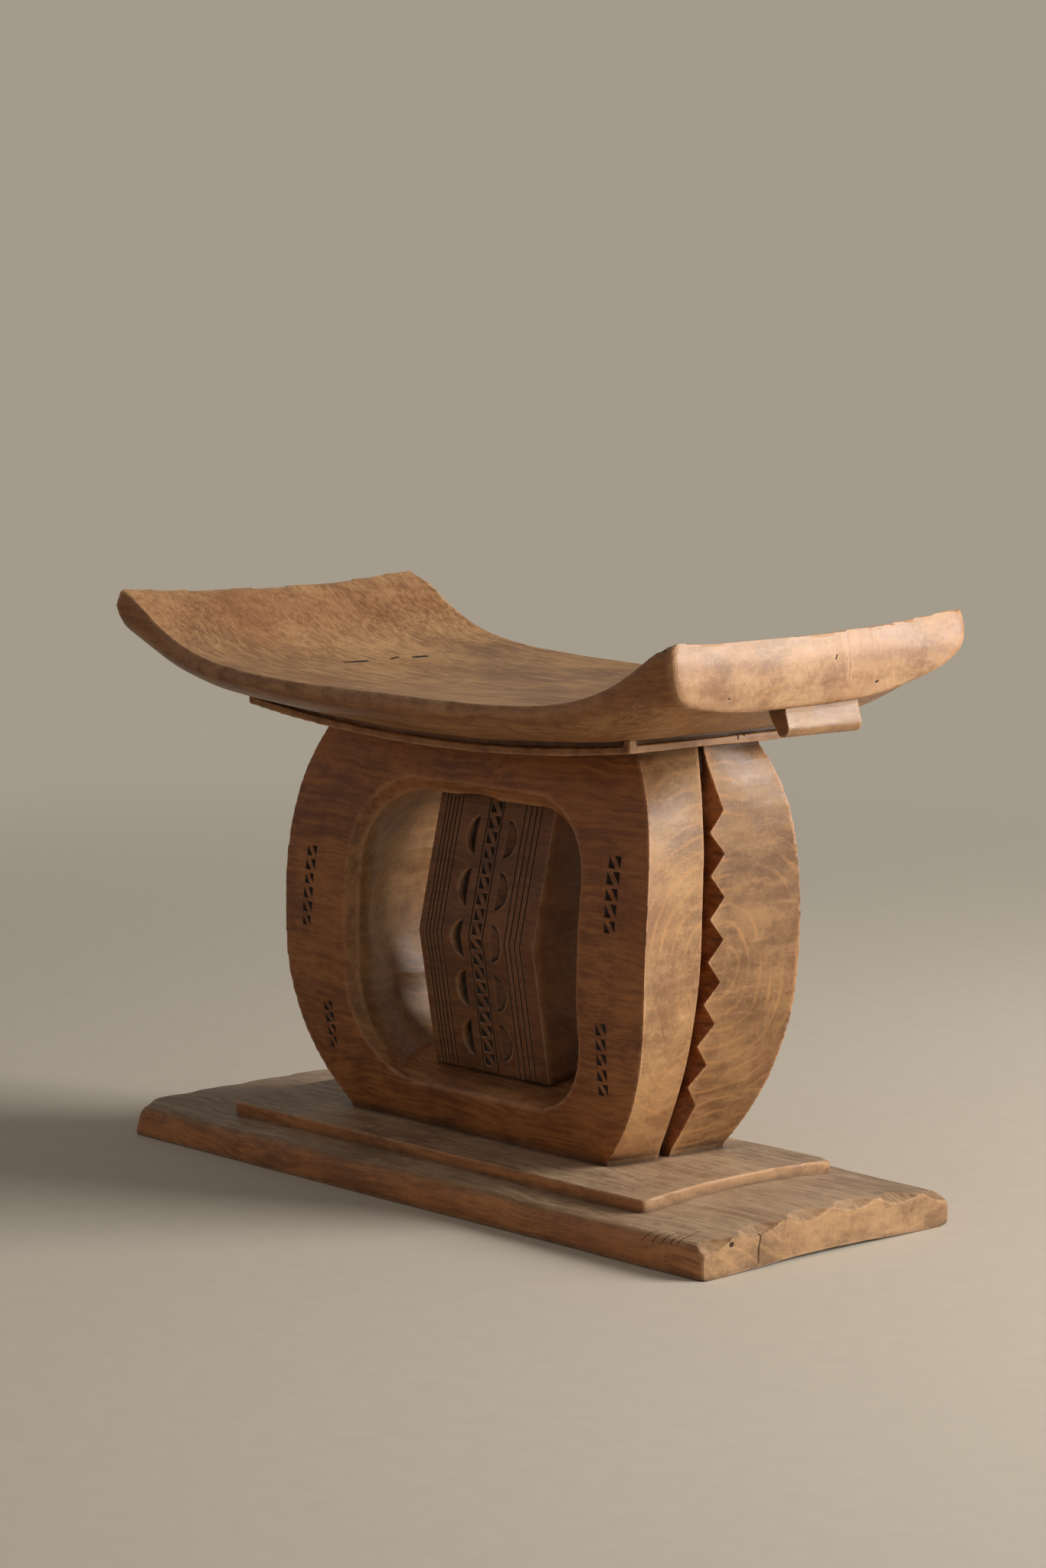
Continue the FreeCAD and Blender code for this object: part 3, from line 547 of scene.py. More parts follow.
def chip_strips(obj, side, facing):
    """Cut the two strips of chips into one face of a post."""
    hand = side if facing < 0 else -side
    turn = -facing
    for top, low, top_half, low_half, count in STRIPS[hand]:
        top = np.array((turn * top[0], top[1]))
        low = np.array((turn * low[0], low[1]))
        length = np.linalg.norm(low - top)
        down = (low - top) / length
        right = np.array((-down[1], down[0])) * turn

        def local(points):
            flat = points[:, (0, 2)] / MM - top
            on_face = (points[:, 1] / MM - PEDESTAL_SHIFT) * facing > FACE_FROM
            return flat @ right, flat @ down, on_face

        def near(middles):
            across, along, on_face = local(middles)
            beside = np.abs(across) < top_half + STRIP_MARGIN
            return on_face & beside & (along > -STRIP_MARGIN) & (along < length + STRIP_MARGIN)

        refine(obj, near, REFINE_ROUNDS)
        points = read_points(obj.data)
        across, along, on_face = local(points)
        inside = strip_depth(across, along, length, (top_half, low_half), count) * on_face
        points[:, 1] -= facing * np.minimum(CHIP_SLOPE * inside, CHIP_DEEPEST) * MM
        write_points(obj.data, points)
        # Chips painted dark by their depth: grime and painted shade in the recess
        paint(obj, "grime_and_shade", np.maximum(painted(obj, "grime_and_shade"), smoothstep(inside / CHIP_DARK)))


def column_half_depth(heights):
    levels, depths = zip(*COLUMN_LEVELS)
    soft = 0.25 * (np.interp(heights - KNEE_SOFTNESS, levels, depths)
                   + np.interp(heights + KNEE_SOFTNESS, levels, depths))
    return 0.5 * np.interp(heights, levels, depths) + soft


def column_carving(x, z, chips):
    """Depth of the carving on the column's faces, in millimetres, and how dark it is painted: painted
    shade and grime inside the half-moons, the fine lines and the chips.
    """
    moons = np.zeros(x.shape)
    shade = np.zeros(x.shape)
    for row in range(MOON_ROWS):
        height = MOON_TOP - row * MOON_PITCH
        radius = np.hypot(np.abs(x) - MOON_CENTRE, z - height)
        reach = MOON_CENTRE + MOON_RADIUS - MOON_CHORD
        floor = MOON_DEPTH * np.clip((np.abs(x) - MOON_CHORD) / reach, 0.0, 1.0)
        inside = smoothstep((MOON_RADIUS + 0.3 - radius) / 1.2)
        moons = np.maximum(moons, floor * inside)
        # Painted shade across each half-moon, darkest in a band inside its arc
        by_arc = smoothstep((radius - MOON_RADIUS + MOON_SHADE) / MOON_SHADE)
        shade = np.maximum(shade, inside * (0.45 + 0.55 * by_arc) * (np.abs(x) > MOON_CHORD))
    fine = np.zeros(x.shape)
    upper = smoothstep((LINE_TOP - z) / 3.0)
    for place in RIGHT_LINES + LEFT_LINES + TWIST_LINES:
        cut = LINE_DEPTH * np.clip(1.0 - np.abs(x - place) / LINE_HALF_WIDTH, 0.0, 1.0)
        fine = np.maximum(fine, cut * upper)
    for index, (share, above, below) in enumerate(chips):
        top = TWIST_TOP - index * TWIST_PITCH - above
        low = TWIST_TOP - (index + 1) * TWIST_PITCH + CHIP_GAP + below
        inside = chip_depth(x, z, share * TWIST_HALF_WIDTH, top, low)
        fine = np.maximum(fine, np.minimum(CHIP_SLOPE * inside, CHIP_DEEPEST))
    return np.maximum(moons, fine), np.maximum(0.9 * shade, smoothstep(fine / 0.8))


# Places sampled across one fine line, as shares of its half width
LINE_SAMPLES = (-1.5, -1.0, -0.45, 0.0, 0.45, 1.0, 1.5)


def face_samples():
    """Places across the column's face, close together where the carving is fine."""
    reach = COLUMN_HALF_WIDTH - COLUMN_CORNER
    places = list(np.arange(-5.0, 5.01, 0.55))
    for side in (-1, 1):
        places += list(side * np.arange(7.0, 26.0, 0.8))
        places += list(side * np.arange(27.5, reach, 2.4))
        places += [side * reach]
    for line in RIGHT_LINES + LEFT_LINES + TWIST_LINES:
        places += [line + share * LINE_HALF_WIDTH for share in LINE_SAMPLES]
    places = np.array(sorted(places))
    keep = np.concatenate(([True], np.diff(places) > 0.12))
    return places[keep]


def ring_mesh(name, rings):
    """A closed skin through equal rings of points, stacked upward."""
    count, around = rings.shape[0], rings.shape[1]
    index = np.arange(count * around).reshape(count, around)
    following = np.roll(index, -1, axis=1)
    quads = np.stack([index[:-1], following[:-1], following[1:], index[1:]], axis=-1)
    mesh = bpy.data.meshes.new(name)
    faces = [tuple(quad) for quad in quads.reshape(-1, 4).tolist()]
    faces += [tuple(index[0][::-1].tolist()), tuple(index[-1].tolist())]
    mesh.from_pydata(rings.reshape(-1, 3).tolist(), [], faces)
    mesh.shade_smooth()
    for cap in mesh.polygons[-2:]:
        cap.use_smooth = False
    return mesh


def centre_column():
    """The kneed column with its half-moons, fine lines and middle band of chips."""
    heights = np.concatenate((
        [COLUMN_FOOT, COLUMN_FOOT + 6, COLUMN_SOLE - 0.4, COLUMN_SOLE - 0.3],
        [COLUMN_SOLE, COLUMN_SOLE + 0.15, COLUMN_SOLE + 0.6],
        np.arange(COLUMN_SOLE + 1.2, LINE_TOP, COLUMN_STEP),
        np.arange(LINE_TOP, COLUMN_TOP, PLAIN_STEP)))
    x_front = face_samples()
    reach = COLUMN_HALF_WIDTH - COLUMN_CORNER
    turn = np.radians((22.5, 45.0, 67.5))
    sides = 14
    rings = np.zeros((len(heights), 2 * len(x_front) + 2 * (2 * len(turn) + sides), 3))
    grime_and_shade = np.zeros(rings.shape[:2])
    chips = uneven(TWIST_COUNT, 5)
    for level, height in enumerate(heights):
        half = float(column_half_depth(np.array([height]))[0])
        width = COLUMN_HALF_WIDTH
        if height < COLUMN_SOLE - 0.35:
            half = NECK_HALF_DEPTH
        elif height < COLUMN_SOLE + 0.3:
            half -= 0.5
        inner = half - COLUMN_CORNER
        cut, dark = column_carving(x_front, np.full(x_front.shape, height), chips)
        if height < COLUMN_SOLE - 0.2:
            cut, dark = 0.0 * cut, 0.0 * dark
        slide = np.linspace(-inner, inner, sides + 2)[1:-1]
        corner_x = reach + COLUMN_CORNER * np.sin(turn)
        corner_y = inner + COLUMN_CORNER * np.cos(turn)
        x = np.concatenate((x_front, corner_x, np.full(sides, width), corner_x[::-1],
                            x_front[::-1], -corner_x, np.full(sides, -width), -corner_x[::-1]))
        y = np.concatenate((cut - half, -corner_y, slide, corner_y[::-1],
                            (half - cut)[::-1], corner_y, -slide, -corner_y[::-1]))
        around = WEAVE * np.sin(height / WEAVE_LENGTH) * np.cos(x / width * WEAVE_ACROSS)
        rings[level, :, 0] = x + around
        rings[level, :, 1] = y + PEDESTAL_SHIFT
        rings[level, :, 2] = height
        grime_and_shade[level, :len(x_front)] = dark
        start = len(x_front) + 2 * len(turn) + sides
        grime_and_shade[level, start:start + len(x_front)] = dark[::-1]
    mesh = ring_mesh("carved_centre_column", rings * MM)
    obj = link("carved_centre_column", mesh)
    # Painted shade and grime in the column's carving
    paint(obj, "grime_and_shade", grime_and_shade.ravel())
    paint_edges(obj)
    return obj


def simple_piece(node, voxel, passes, seed, short_size=0.10, long_size=0.25):
    """A CAD node remeshed and worn round, with surfaces that swell and dip a little."""
    obj = cad_copy("carved_" + node, (node,))
    remesh(obj, voxel)
    soften(obj, passes)
    wander(obj, short_size * MM, long_size * MM, seed)
    return obj


def round_upright(obj, x, y, reach, passes):
    """Wear one upright corner edge rounder than the rest."""
    points = read_points(obj.data) / MM
    away = np.hypot(points[:, 0] - x, points[:, 1] - y)
    soften(obj, passes, smoothstep(1.0 - away / reach))


# Upright corner edges that are worn round: place, how far the wear reaches, and how hard
BASE_CORNERS = ((-267.8, -109.8, 9.0, 16), (-267.8, 109.8, 12.0, 30),
                (267.8, -109.8, 6.0, 14), (267.8, 109.8, 12.0, 40))
PLINTH_CORNERS = ((192.3, -84.2, 9.0, 30), (192.3, 84.2, 12.0, 50),
                  (-192.3, -84.2, 8.0, 24), (-192.3, 84.2, 9.0, 30))
SEAT_CORNERS = ((250.0, 129.0, 12.0, 30), (-250.0, 129.0, 12.0, 30),
                (-250.0, -129.0, 10.0, 20), (250.0, -129.0, 6.0, 10))
# The base's front shoulder, worn round except near its right end: place across and height,
# how far the wear reaches, how hard it is, and where along the board it starts and is full
BASE_SHOULDER = (-107.0, 17.0, 15.0, 90)
SHOULDER_NONE, SHOULDER_FULL = 170.0, 20.0
# Chip at the seat's near right corner
CORNER_CHIP = (((247.0, -131.0, 371.5), (243.0, -130.0, 371.0)),)
# Knife nicks on the base's front right shoulder, each from its upper to its lower end
NICKS = (
    ((222.0, -101.5, 21.3), (217.4, -108.0, 15.9)),
    ((228.5, -100.7, 21.4), (225.4, -108.0, 15.7)),
    ((234.2, -98.2, 21.7), (232.6, -108.0, 16.3)),
    ((240.0, -95.8, 22.0), (239.0, -107.2, 17.6)),
    ((242.5, -88.0, 22.7), (244.6, -107.2, 17.4)),
)
# Crack down the base's right end
END_CRACK = ((267.2, -61.8, 25.0), (267.6, -60.9, 19.0), (267.7, -62.6, 12.7), (267.6, -62.7, 3.8))
END_KNOT = ((267.8, -86.2, 18.7), (267.8, -85.2, 18.7))
BASE_SPECKS = (
    ((266.8, -63.5, 25.4), (266.8, -63.1, 25.2)),
    ((266.8, -59.6, 26.0), (266.8, -59.0, 25.8)),
    ((267.2, -66.0, 23.6), (267.2, -65.6, 23.4)),
)
# Short upright nicks in the band under the seat's right end
RAIL_NICKS = (
    ((177.0, 7.7, 307.5), (177.0, 7.7, 301.5)),
    ((177.0, 13.1, 308.5), (177.0, 13.1, 303.0)),
)
# Dark marks on the seat's top, each from end to end, and their widths
SEAT_MARKS = (
    ((-154.4, -20.3, 325.0), (-153.9, -3.3, 324.8), 9.0),
    ((-153.5, 18.9, 324.9), (-156.5, 27.0, 325.4), 6.0),
    ((-151.0, 38.0, 324.9), (-149.8, 46.0, 325.0), 9.0),
)
# Dark marks on the seat's right end
END_MARKS = (
    ((256.0, 5.8, 356.6), (256.0, 7.0, 358.9), 1.3),
    ((256.0, 43.4, 340.6), (256.0, 44.6, 340.9), 2.4),
    ((254.0, -83.4, 339.0), (254.0, -82.4, 339.2), 1.8),
)
# Pale scratches down the seat's right end: place across, upper and lower height
END_SCRATCHES = (
    (12.6, 373.0, 363.0), (13.9, 374.5, 360.0), (15.2, 374.0, 358.0), (16.6, 374.5, 345.0),
    (19.8, 374.5, 343.0), (21.0, 375.0, 348.0), (22.3, 374.5, 357.0), (23.6, 375.0, 358.5),
    (24.9, 375.0, 359.0), (26.2, 374.5, 361.0),
)
# The same, fainter
END_SCUFFS = (
    (-100.6, 362.5, 354.0), (-98.4, 363.0, 353.0), (-14.2, 363.5, 355.5), (-12.6, 362.0, 354.5),
    (41.0, 375.5, 361.0), (43.4, 376.0, 366.0), (45.2, 371.0, 358.5),
)


def millimetres(points):
    return tuple(tuple(value * MM for value in point) for point in points)


def round_shoulder(obj):
    """Wear the base's front shoulder round."""
    across, height, reach, passes = BASE_SHOULDER
    points = read_points(obj.data) / MM
    away = np.hypot(points[:, 1] - across, points[:, 2] - height)
    along = smoothstep((SHOULDER_NONE - points[:, 0]) / (SHOULDER_NONE - SHOULDER_FULL))
    soften(obj, passes, along * smoothstep(1.5 * (1.0 - away / reach)))


def base_board():
    obj = simple_piece("base_board", 1.75 * MM, 3, 31, 0.08, 0.3)
    round_shoulder(obj)
    for x, y, reach, passes in BASE_CORNERS:
        round_upright(obj, x, y, reach, passes)
    paint_edges(obj, 4)
    score(obj, [millimetres(mark) for mark in NICKS], 1.0 * MM, 0.5 * MM, "grime_and_shade", 1.0)
    crack = millimetres(END_CRACK)
    score(obj, list(zip(crack, crack[1:])), 1.2 * MM, 0.9 * MM, "grime_and_shade", 1.0)
    score(obj, [millimetres(END_KNOT)], 4.4 * MM, 0.3 * MM, "grime_and_shade", 0.8)
    score(obj, [millimetres(mark) for mark in BASE_SPECKS], 1.6 * MM, 0.1 * MM, "pale", 1.0)
    return obj


def plinth():
    obj = simple_piece("plinth", 1.3 * MM, 3, 51, 0.08, 0.2)
    for x, y, reach, passes in PLINTH_CORNERS:
        round_upright(obj, x, y, reach, passes)
    press_into(obj, ("base_board",), 2.6 * MM, 1.8 * MM)
    paint_edges(obj, 4)
    return obj


def seat():
    obj = simple_piece("seat", 1.8 * MM, 5, 41, 0.08, 0.25)
    for x, y, reach, passes in SEAT_CORNERS:
        round_upright(obj, x, y, reach, passes)
    paint_edges(obj, 4)
    for start, end, width in SEAT_MARKS:
        score(obj, [millimetres((start, end))], 0.8 * width * MM, 0.4 * MM, "grime_and_shade", 0.7)
    for start, end, width in END_MARKS:
        score(obj, [millimetres((start, end))], width * MM, 0.5 * MM, "grime_and_shade", 0.95)
    for lines, amount in ((END_SCRATCHES, 0.95), (END_SCUFFS, 0.5)):
        scratches = [millimetres(((256.0, across, high), (256.5, across + 0.4, low)))
                     for across, high, low in lines]
        score(obj, scratches, 1.0 * MM, 0.06 * MM, "pale", amount)
    score(obj, [millimetres(mark) for mark in CORNER_CHIP], 5.0 * MM, 1.6 * MM, "grime_and_shade", 0.7)
    return obj


def seat_rail():
    obj = simple_piece("seat_rail", 1.2 * MM, 9, 61, 0.08, 0.15)
    press_into(obj, ("seat",), 2.4 * MM, 1.8 * MM, (0, 0, 1))
    paint_edges(obj, 4)
    score(obj, [millimetres(mark) for mark in RAIL_NICKS], 1.3 * MM, 0.6 * MM, "grime_and_shade", 1.0)
    return obj


def lug(node):
    obj = simple_piece(node, 0.8 * MM, 5, 71, 0.06, 0.12)
    press_into(obj, ("seat",), 2.6 * MM, 2.4 * MM, (0, 0, 1))
    paint_edges(obj)
    return obj


class Graph:
    """Adds shader nodes to one material and joins them."""

    def __init__(self, name):
        self.material = bpy.data.materials.new(name)
        self.material.use_nodes = True
        self.tree = self.material.node_tree
        self.tree.nodes.clear()

    def feed(self, socket, value):
        if isinstance(value, bpy.types.NodeSocket):
            self.tree.links.new(value, socket)
        else:
            socket.default_value = value

    def node(self, kind, inputs=(), **settings):
        item = self.tree.nodes.new(kind)
        for key, value in settings.items():
            setattr(item, key, value)
        for key, value in dict(inputs).items():
            self.feed(item.inputs[key], value)
        return item

    def math(self, operation, *values):
        item = self.node("ShaderNodeMath", operation=operation)
        for index, value in enumerate(values):
            self.feed(item.inputs[index], value)
        return item.outputs[0]

    def vector(self, operation, *values):
        item = self.node("ShaderNodeVectorMath", operation=operation)
        for index, value in enumerate(values):
            self.feed(item.inputs[index], value)
        return item.outputs["Value" if operation == "LENGTH" else "Vector"]

    def noise(self, place, scale, detail=2.0, roughness=0.5, output="Fac"):
        item = self.node("ShaderNodeTexNoise", {"Vector": place, "Scale": scale, "Detail": detail,
                                                "Roughness": roughness})
        return item.outputs[output]

    def span(self, value, low, high, to_low=0.0, to_high=1.0):
        """The value's share between two limits, eased, as a number between two others."""
        item = self.node("ShaderNodeMapRange", interpolation_type="SMOOTHSTEP")
        for index, number in enumerate((value, low, high, to_low, to_high)):
            self.feed(item.inputs[index], number)
        return item.outputs[0]

    def mix(self, share, first, second, blend="MIX"):
        item = self.node("ShaderNodeMix", data_type="RGBA", blend_type=blend)
        for index, value in ((0, share), (6, first), (7, second)):
            self.feed(item.inputs[index], value)
        return item.outputs[2]


def colour(red, green, blue):
    return (red, green, blue, 1.0)


# Place of the log's heart across the grain, as seen on the pedestal's right end
HEART = (0.0, 0.012, 0.158)
# Dark colour of grime, and of painted shade in creases and carving
DARK_GRIME_AND_SHADE = colour(0.030, 0.014, 0.007)
# Spacing of its rings, and their colour as shares of the light wood's
RING_PITCH = 0.010
RING_TINT = (1.22, 1.26, 1.08)
PLAIN = (1.0, 1.0, 1.0)


def facing(g):
    """How much the surface faces an end, a side and upwards."""
    normal = g.node("ShaderNodeSeparateXYZ", {0: g.node("ShaderNodeNewGeometry").outputs["Normal"]})
    return (g.span(g.math("ABSOLUTE", normal.outputs["X"]), 0.5, 0.9),
            g.span(g.math("ABSOLUTE", normal.outputs["Y"]), 0.5, 0.9),
            g.span(normal.outputs["Z"], 0.82, 0.99))


def between(g, share, first, second):
    """A number between two others."""
    step = g.math("MULTIPLY", g.math("SUBTRACT", second, first), share)
    return g.math("ADD", first, step)


def grain(g, place, light, dark, red, to_end):
    """Colour of the bare wood, and the noises that roughness and bump share with it."""
    drift = g.vector("SUBTRACT", g.noise(place, 7.0, 3.0, output="Color"), (0.5, 0.5, 0.5))
    bent = g.vector("ADD", place, g.vector("MULTIPLY", drift, (0.06, 0.04, 0.04)))
    fibre = g.noise(g.vector("MULTIPLY", bent, (14.0, 330.0, 330.0)), 1.0, 4.0, 0.65)
    marble = g.noise(g.vector("MULTIPLY", bent, (60.0, 26.0, 105.0)), 1.0, 4.0, 0.6)
    fibre = between(g, g.math("MULTIPLY", to_end, 0.65), fibre, marble)
    hair = g.noise(g.vector("MULTIPLY", bent, (40.0, 1300.0, 1300.0)), 1.0, 3.0, 0.65)
    cloud = g.noise(g.vector("MULTIPLY", bent, (0.6, 1.0, 1.0)), 20.0, 5.0, 0.6)
    mottle = g.noise(place, 90.0, 5.0, 0.7)
    tone = 0.0
    for value, share in ((cloud, 0.33), (fibre, 0.36), (hair, 0.14), (mottle, 0.17)):
        tone = g.math("ADD", tone, g.math("MULTIPLY", g.span(value, 0.3, 0.7), share))
    body = g.mix(g.span(tone, 0.2, 0.8), dark, light)
    patch = g.noise(g.vector("ADD", place, (3.0, 1.0, 2.0)), 9.0, 5.0, 0.6)
    body = g.mix(g.span(patch, 0.46, 0.74, 0.0, 0.55), body, red)
    pores = g.noise(g.vector("MULTIPLY", bent, (110.0, 1400.0, 1400.0)), 1.0, 1.0, 0.4)
    body = g.mix(g.span(pores, 0.62, 0.72, 0.0, 0.55), body, dark)
    return body, bent, fibre, hair, cloud, mottle


def rings(g, place, bent, share):
    """Share of the pale arcs that the log's rings draw, mostly on its end grain."""
    across = g.vector("MULTIPLY", g.vector("SUBTRACT", bent, HEART), (0.06, 1.0, 1.0))
    turns = g.math("MULTIPLY", g.vector("LENGTH", across), 2.0 * math.pi / RING_PITCH)
    turns = g.math("ADD", turns, g.math("MULTIPLY", g.noise(bent, 30.0, 3.0), 6.0))
    faint = g.noise(g.vector("ADD", place, (2.0, 4.0, 8.0)), 16.0, 3.0, 0.6)
    arcs = g.math("MULTIPLY", g.span(g.math("SINE", turns), 0.5, 1.0),
                  g.span(faint, 0.4, 0.62, 0.1, 1.0))
    return g.math("MULTIPLY", arcs, share)


def facing_tints_with_painted_light(g, body, place, faces, tints_with_painted_light):
    """Faces to the end, the side, upwards, and end faces at the rear, take their own tints. These are
    partly the wood's own colour (paler end grain, handled sides, dust on top) and partly painted light:
    paler end faces and tops where light falls, and the sides' and rear end faces' tints as painted
    shade.
    """
    rear = g.node("ShaderNodeSeparateXYZ", {0: place}).outputs["Y"]
    to_rear_painted_shade = g.math("MULTIPLY", faces[0], g.span(rear, 4 * MM, 12 * MM))
    for share, tint in zip(faces + (to_rear_painted_shade,), tints_with_painted_light):
        body = g.mix(share, body, colour(*tint), "MULTIPLY")
    return body


def aged_and_shaded(g, body, place, mottle, light, grime_and_shade_reach):
    """Wear along the edges, painted shade and grime in the creases, recesses and cuts, stains and pale
    scratches.
    """
    pale = colour(*(min(1.0, 1.25 * value + 0.05) for value in light[:3]))
    stain = g.noise(g.vector("ADD", place, (7.0, 5.0, 1.0)), 15.0, 5.0, 0.65)
    body = g.mix(g.span(stain, 0.58, 0.8, 0.0, 0.3), body, DARK_GRIME_AND_SHADE)
    layer = {name: g.node("ShaderNodeAttribute", attribute_name=name).outputs["Fac"]
             for name in ("worn", "sunk", "grime_and_shade", "pale")}
    body = g.mix(g.math("MULTIPLY", layer["worn"], g.span(mottle, 0.3, 0.6, 0.15, 0.8)), body, pale)
    # Painted shade: darker, in the grime colour, where ambient occlusion finds creases and recesses,
    # more so where the stains are
    crease = g.node("ShaderNodeAmbientOcclusion", {"Distance": grime_and_shade_reach}, samples=8)
    shade = g.math("MULTIPLY", g.span(crease.outputs["AO"], 0.3, 0.92, 0.85, 0.0),
                   g.span(stain, 0.3, 0.6, 0.65, 1.0))
    body = g.mix(shade, body, DARK_GRIME_AND_SHADE)
    # Darker where the surface lies sunk below its smoothed surroundings
    body = g.mix(g.math("MULTIPLY", layer["sunk"], 0.6), body, DARK_GRIME_AND_SHADE)
    # Dark marks kept per point: grime in cuts and cracks, and painted shade in the carving's chips,
    # lines and half-moons
    ragged = g.math("ADD", layer["grime_and_shade"], g.math("MULTIPLY", g.math("SUBTRACT", mottle, 0.5), 0.9))
    grime_and_shade = g.span(ragged, 0.3, 0.75)
    body = g.mix(grime_and_shade, body, DARK_GRIME_AND_SHADE)
    body = g.mix(g.math("MULTIPLY", layer["pale"], g.span(mottle, 0.3, 0.45, 0.3, 1.0)), body, pale)
    return body, grime_and_shade


def wood(name, light, dark, red, grime_and_shade_reach, roughness, end=PLAIN, side=PLAIN, top=PLAIN,
         rear=PLAIN, ring_share=0.25):
    """Old hand-rubbed wood with its grain along X and rings round the log's heart."""
    g = Graph(name)
    place = g.node("ShaderNodeTexCoord").outputs["Object"]
    faces = facing(g)
    to_end = faces[0]
    body, bent, fibre, hair, cloud, mottle = grain(g, place, light, dark, red, to_end)
    # Tints by facing, partly the wood's own colour and partly painted light and shade
    body = facing_tints_with_painted_light(g, body, place, faces, (end, side, top, rear))
    arcs = g.math("MULTIPLY", rings(g, place, bent, ring_share), g.math("ADD", to_end, 0.08))
    ring = colour(*(min(1.0, share * value) for share, value in zip(RING_TINT, light)))
    body = g.mix(arcs, body, ring)
    scuff = g.noise(g.vector("MULTIPLY", place, (60.0, 30.0, 170.0)), 1.0, 4.0, 0.7)
    scuff = g.math("MULTIPLY", g.span(scuff, 0.52, 0.72, 0.0, 0.3), to_end)
    body = g.mix(scuff, body, colour(*(min(1.0, 1.3 * value + 0.06) for value in light[:3])))
    # Wear, stains, grime, and painted shade in the creases and the carving
    body, grime_and_shade = aged_and_shaded(g, body, place, mottle, light, grime_and_shade_reach)
    rough = g.span(g.math("ADD", mottle, cloud), 0.7, 1.3, roughness - 0.09, roughness + 0.12)
    rough = g.math("ADD", rough, g.math("MULTIPLY", grime_and_shade, 0.3))
    tool = g.noise(place, 34.0, 3.0, 0.5)
    height = g.math("MULTIPLY", fibre, 0.45)
    for value, share in ((hair, 0.3), (mottle, 0.5), (tool, 0.8)):
        height = g.math("ADD", height, g.math("MULTIPLY", value, share))
    bump = g.node("ShaderNodeBump", {"Strength": 0.5, "Distance": 0.0007, "Height": height})
    shader = g.node("ShaderNodeBsdfPrincipled", {
        "Base Color": body, "Roughness": rough, "Normal": bump.outputs["Normal"],
        "Specular IOR Level": 0.4, "Coat Weight": 0.12, "Coat Roughness": 0.3})
    g.node("ShaderNodeOutputMaterial", {"Surface": shader.outputs[0]})
    return g.material


def dress(obj, node, material):
    """Finish a piece that stands for one CAD node."""
    obj.data.materials.clear()
    obj.data.materials.append(material)
    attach(obj, "root")
    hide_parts(node)


def materials():
    # End and top tints are paler and side tints darker or redder, partly the wood's own colour and
    # partly painted light and shade; the rear tint is painted shade on the rear end faces
    return {
        "seat_wood": wood("seat_wood", colour(0.445, 0.226, 0.096), colour(0.210, 0.088, 0.032),
                          colour(0.345, 0.142, 0.056), 3.5 * MM, 0.46, side=(0.80, 0.62, 0.40),
                          end=(1.27, 1.50, 1.92), top=(1.36, 1.50, 1.55)),
        "pedestal_wood": wood("pedestal_wood", colour(0.44, 0.205, 0.080), colour(0.20, 0.076, 0.026),
                              colour(0.33, 0.118, 0.046), 10 * MM, 0.49, side=(0.94, 0.74, 0.50),
                              end=(1.00, 1.21, 1.26), rear=(0.80, 0.76, 0.72), ring_share=0.4),
        "carved_wood": wood("carved_wood", colour(0.32, 0.145, 0.055), colour(0.15, 0.058, 0.020),
                            colour(0.26, 0.095, 0.036), 5 * MM, 0.5, side=(0.76, 0.63, 0.50)),
        "base_wood": wood("base_wood", colour(0.44, 0.240, 0.112), colour(0.21, 0.104, 0.046),
                          colour(0.34, 0.160, 0.072), 8 * MM, 0.55, side=(1.24, 0.90, 0.62),
                          end=(1.00, 1.06, 1.04), top=(1.26, 1.62, 2.15)),
        "end_grain_wood": wood("end_grain_wood", colour(0.45, 0.250, 0.120), colour(0.25, 0.120, 0.050),
                               colour(0.38, 0.175, 0.085), 6 * MM, 0.42, side=(0.75, 0.62, 0.50),
                               end=(0.84, 0.83, 0.75)),
    }


# Colours of the floor and of the wall behind it, where the one fades into the other, in
# metres from the middle, and the strength of the light from all round
FLOOR_TINT, WALL_TINT = (0.68, 0.605, 0.495), (0.37, 0.328, 0.262)
FADE_FROM, FADE_TO = 0.55, 2.2
WORLD_LIGHT = 0.20


def floor():
    """A wide plain disc that fades, for the camera only, into the backdrop's colour."""
    shape = bmesh.new()
    bmesh.ops.create_circle(shape, cap_ends=True, segments=96, radius=9.0)
    mesh = bpy.data.meshes.new("floor")
    shape.to_mesh(mesh)
    shape.free()
    g = Graph("floor_plain")
    place = g.node("ShaderNodeTexCoord").outputs["Object"]
    speck = g.span(g.noise(place, 60.0, 4.0), 0.3, 0.7)
    body = g.mix(speck, colour(*(0.97 * value for value in FLOOR_TINT)), colour(*FLOOR_TINT))
    shader = g.node("ShaderNodeBsdfPrincipled", {"Base Color": body, "Roughness": 0.85})
    far = g.span(g.vector("LENGTH", place), FADE_FROM, FADE_TO)
    seen = g.node("ShaderNodeLightPath").outputs["Is Camera Ray"]
    wall = g.node("ShaderNodeEmission", {"Color": colour(*WALL_TINT), "Strength": 1.0})
    mixed = g.node("ShaderNodeMixShader", {0: g.math("MULTIPLY", far, seen)})
    g.feed(mixed.inputs[1], shader.outputs[0])
    g.feed(mixed.inputs[2], wall.outputs[0])
    g.node("ShaderNodeOutputMaterial", {"Surface": mixed.outputs[0]})
    mesh.materials.append(g.material)
    link("floor", mesh)


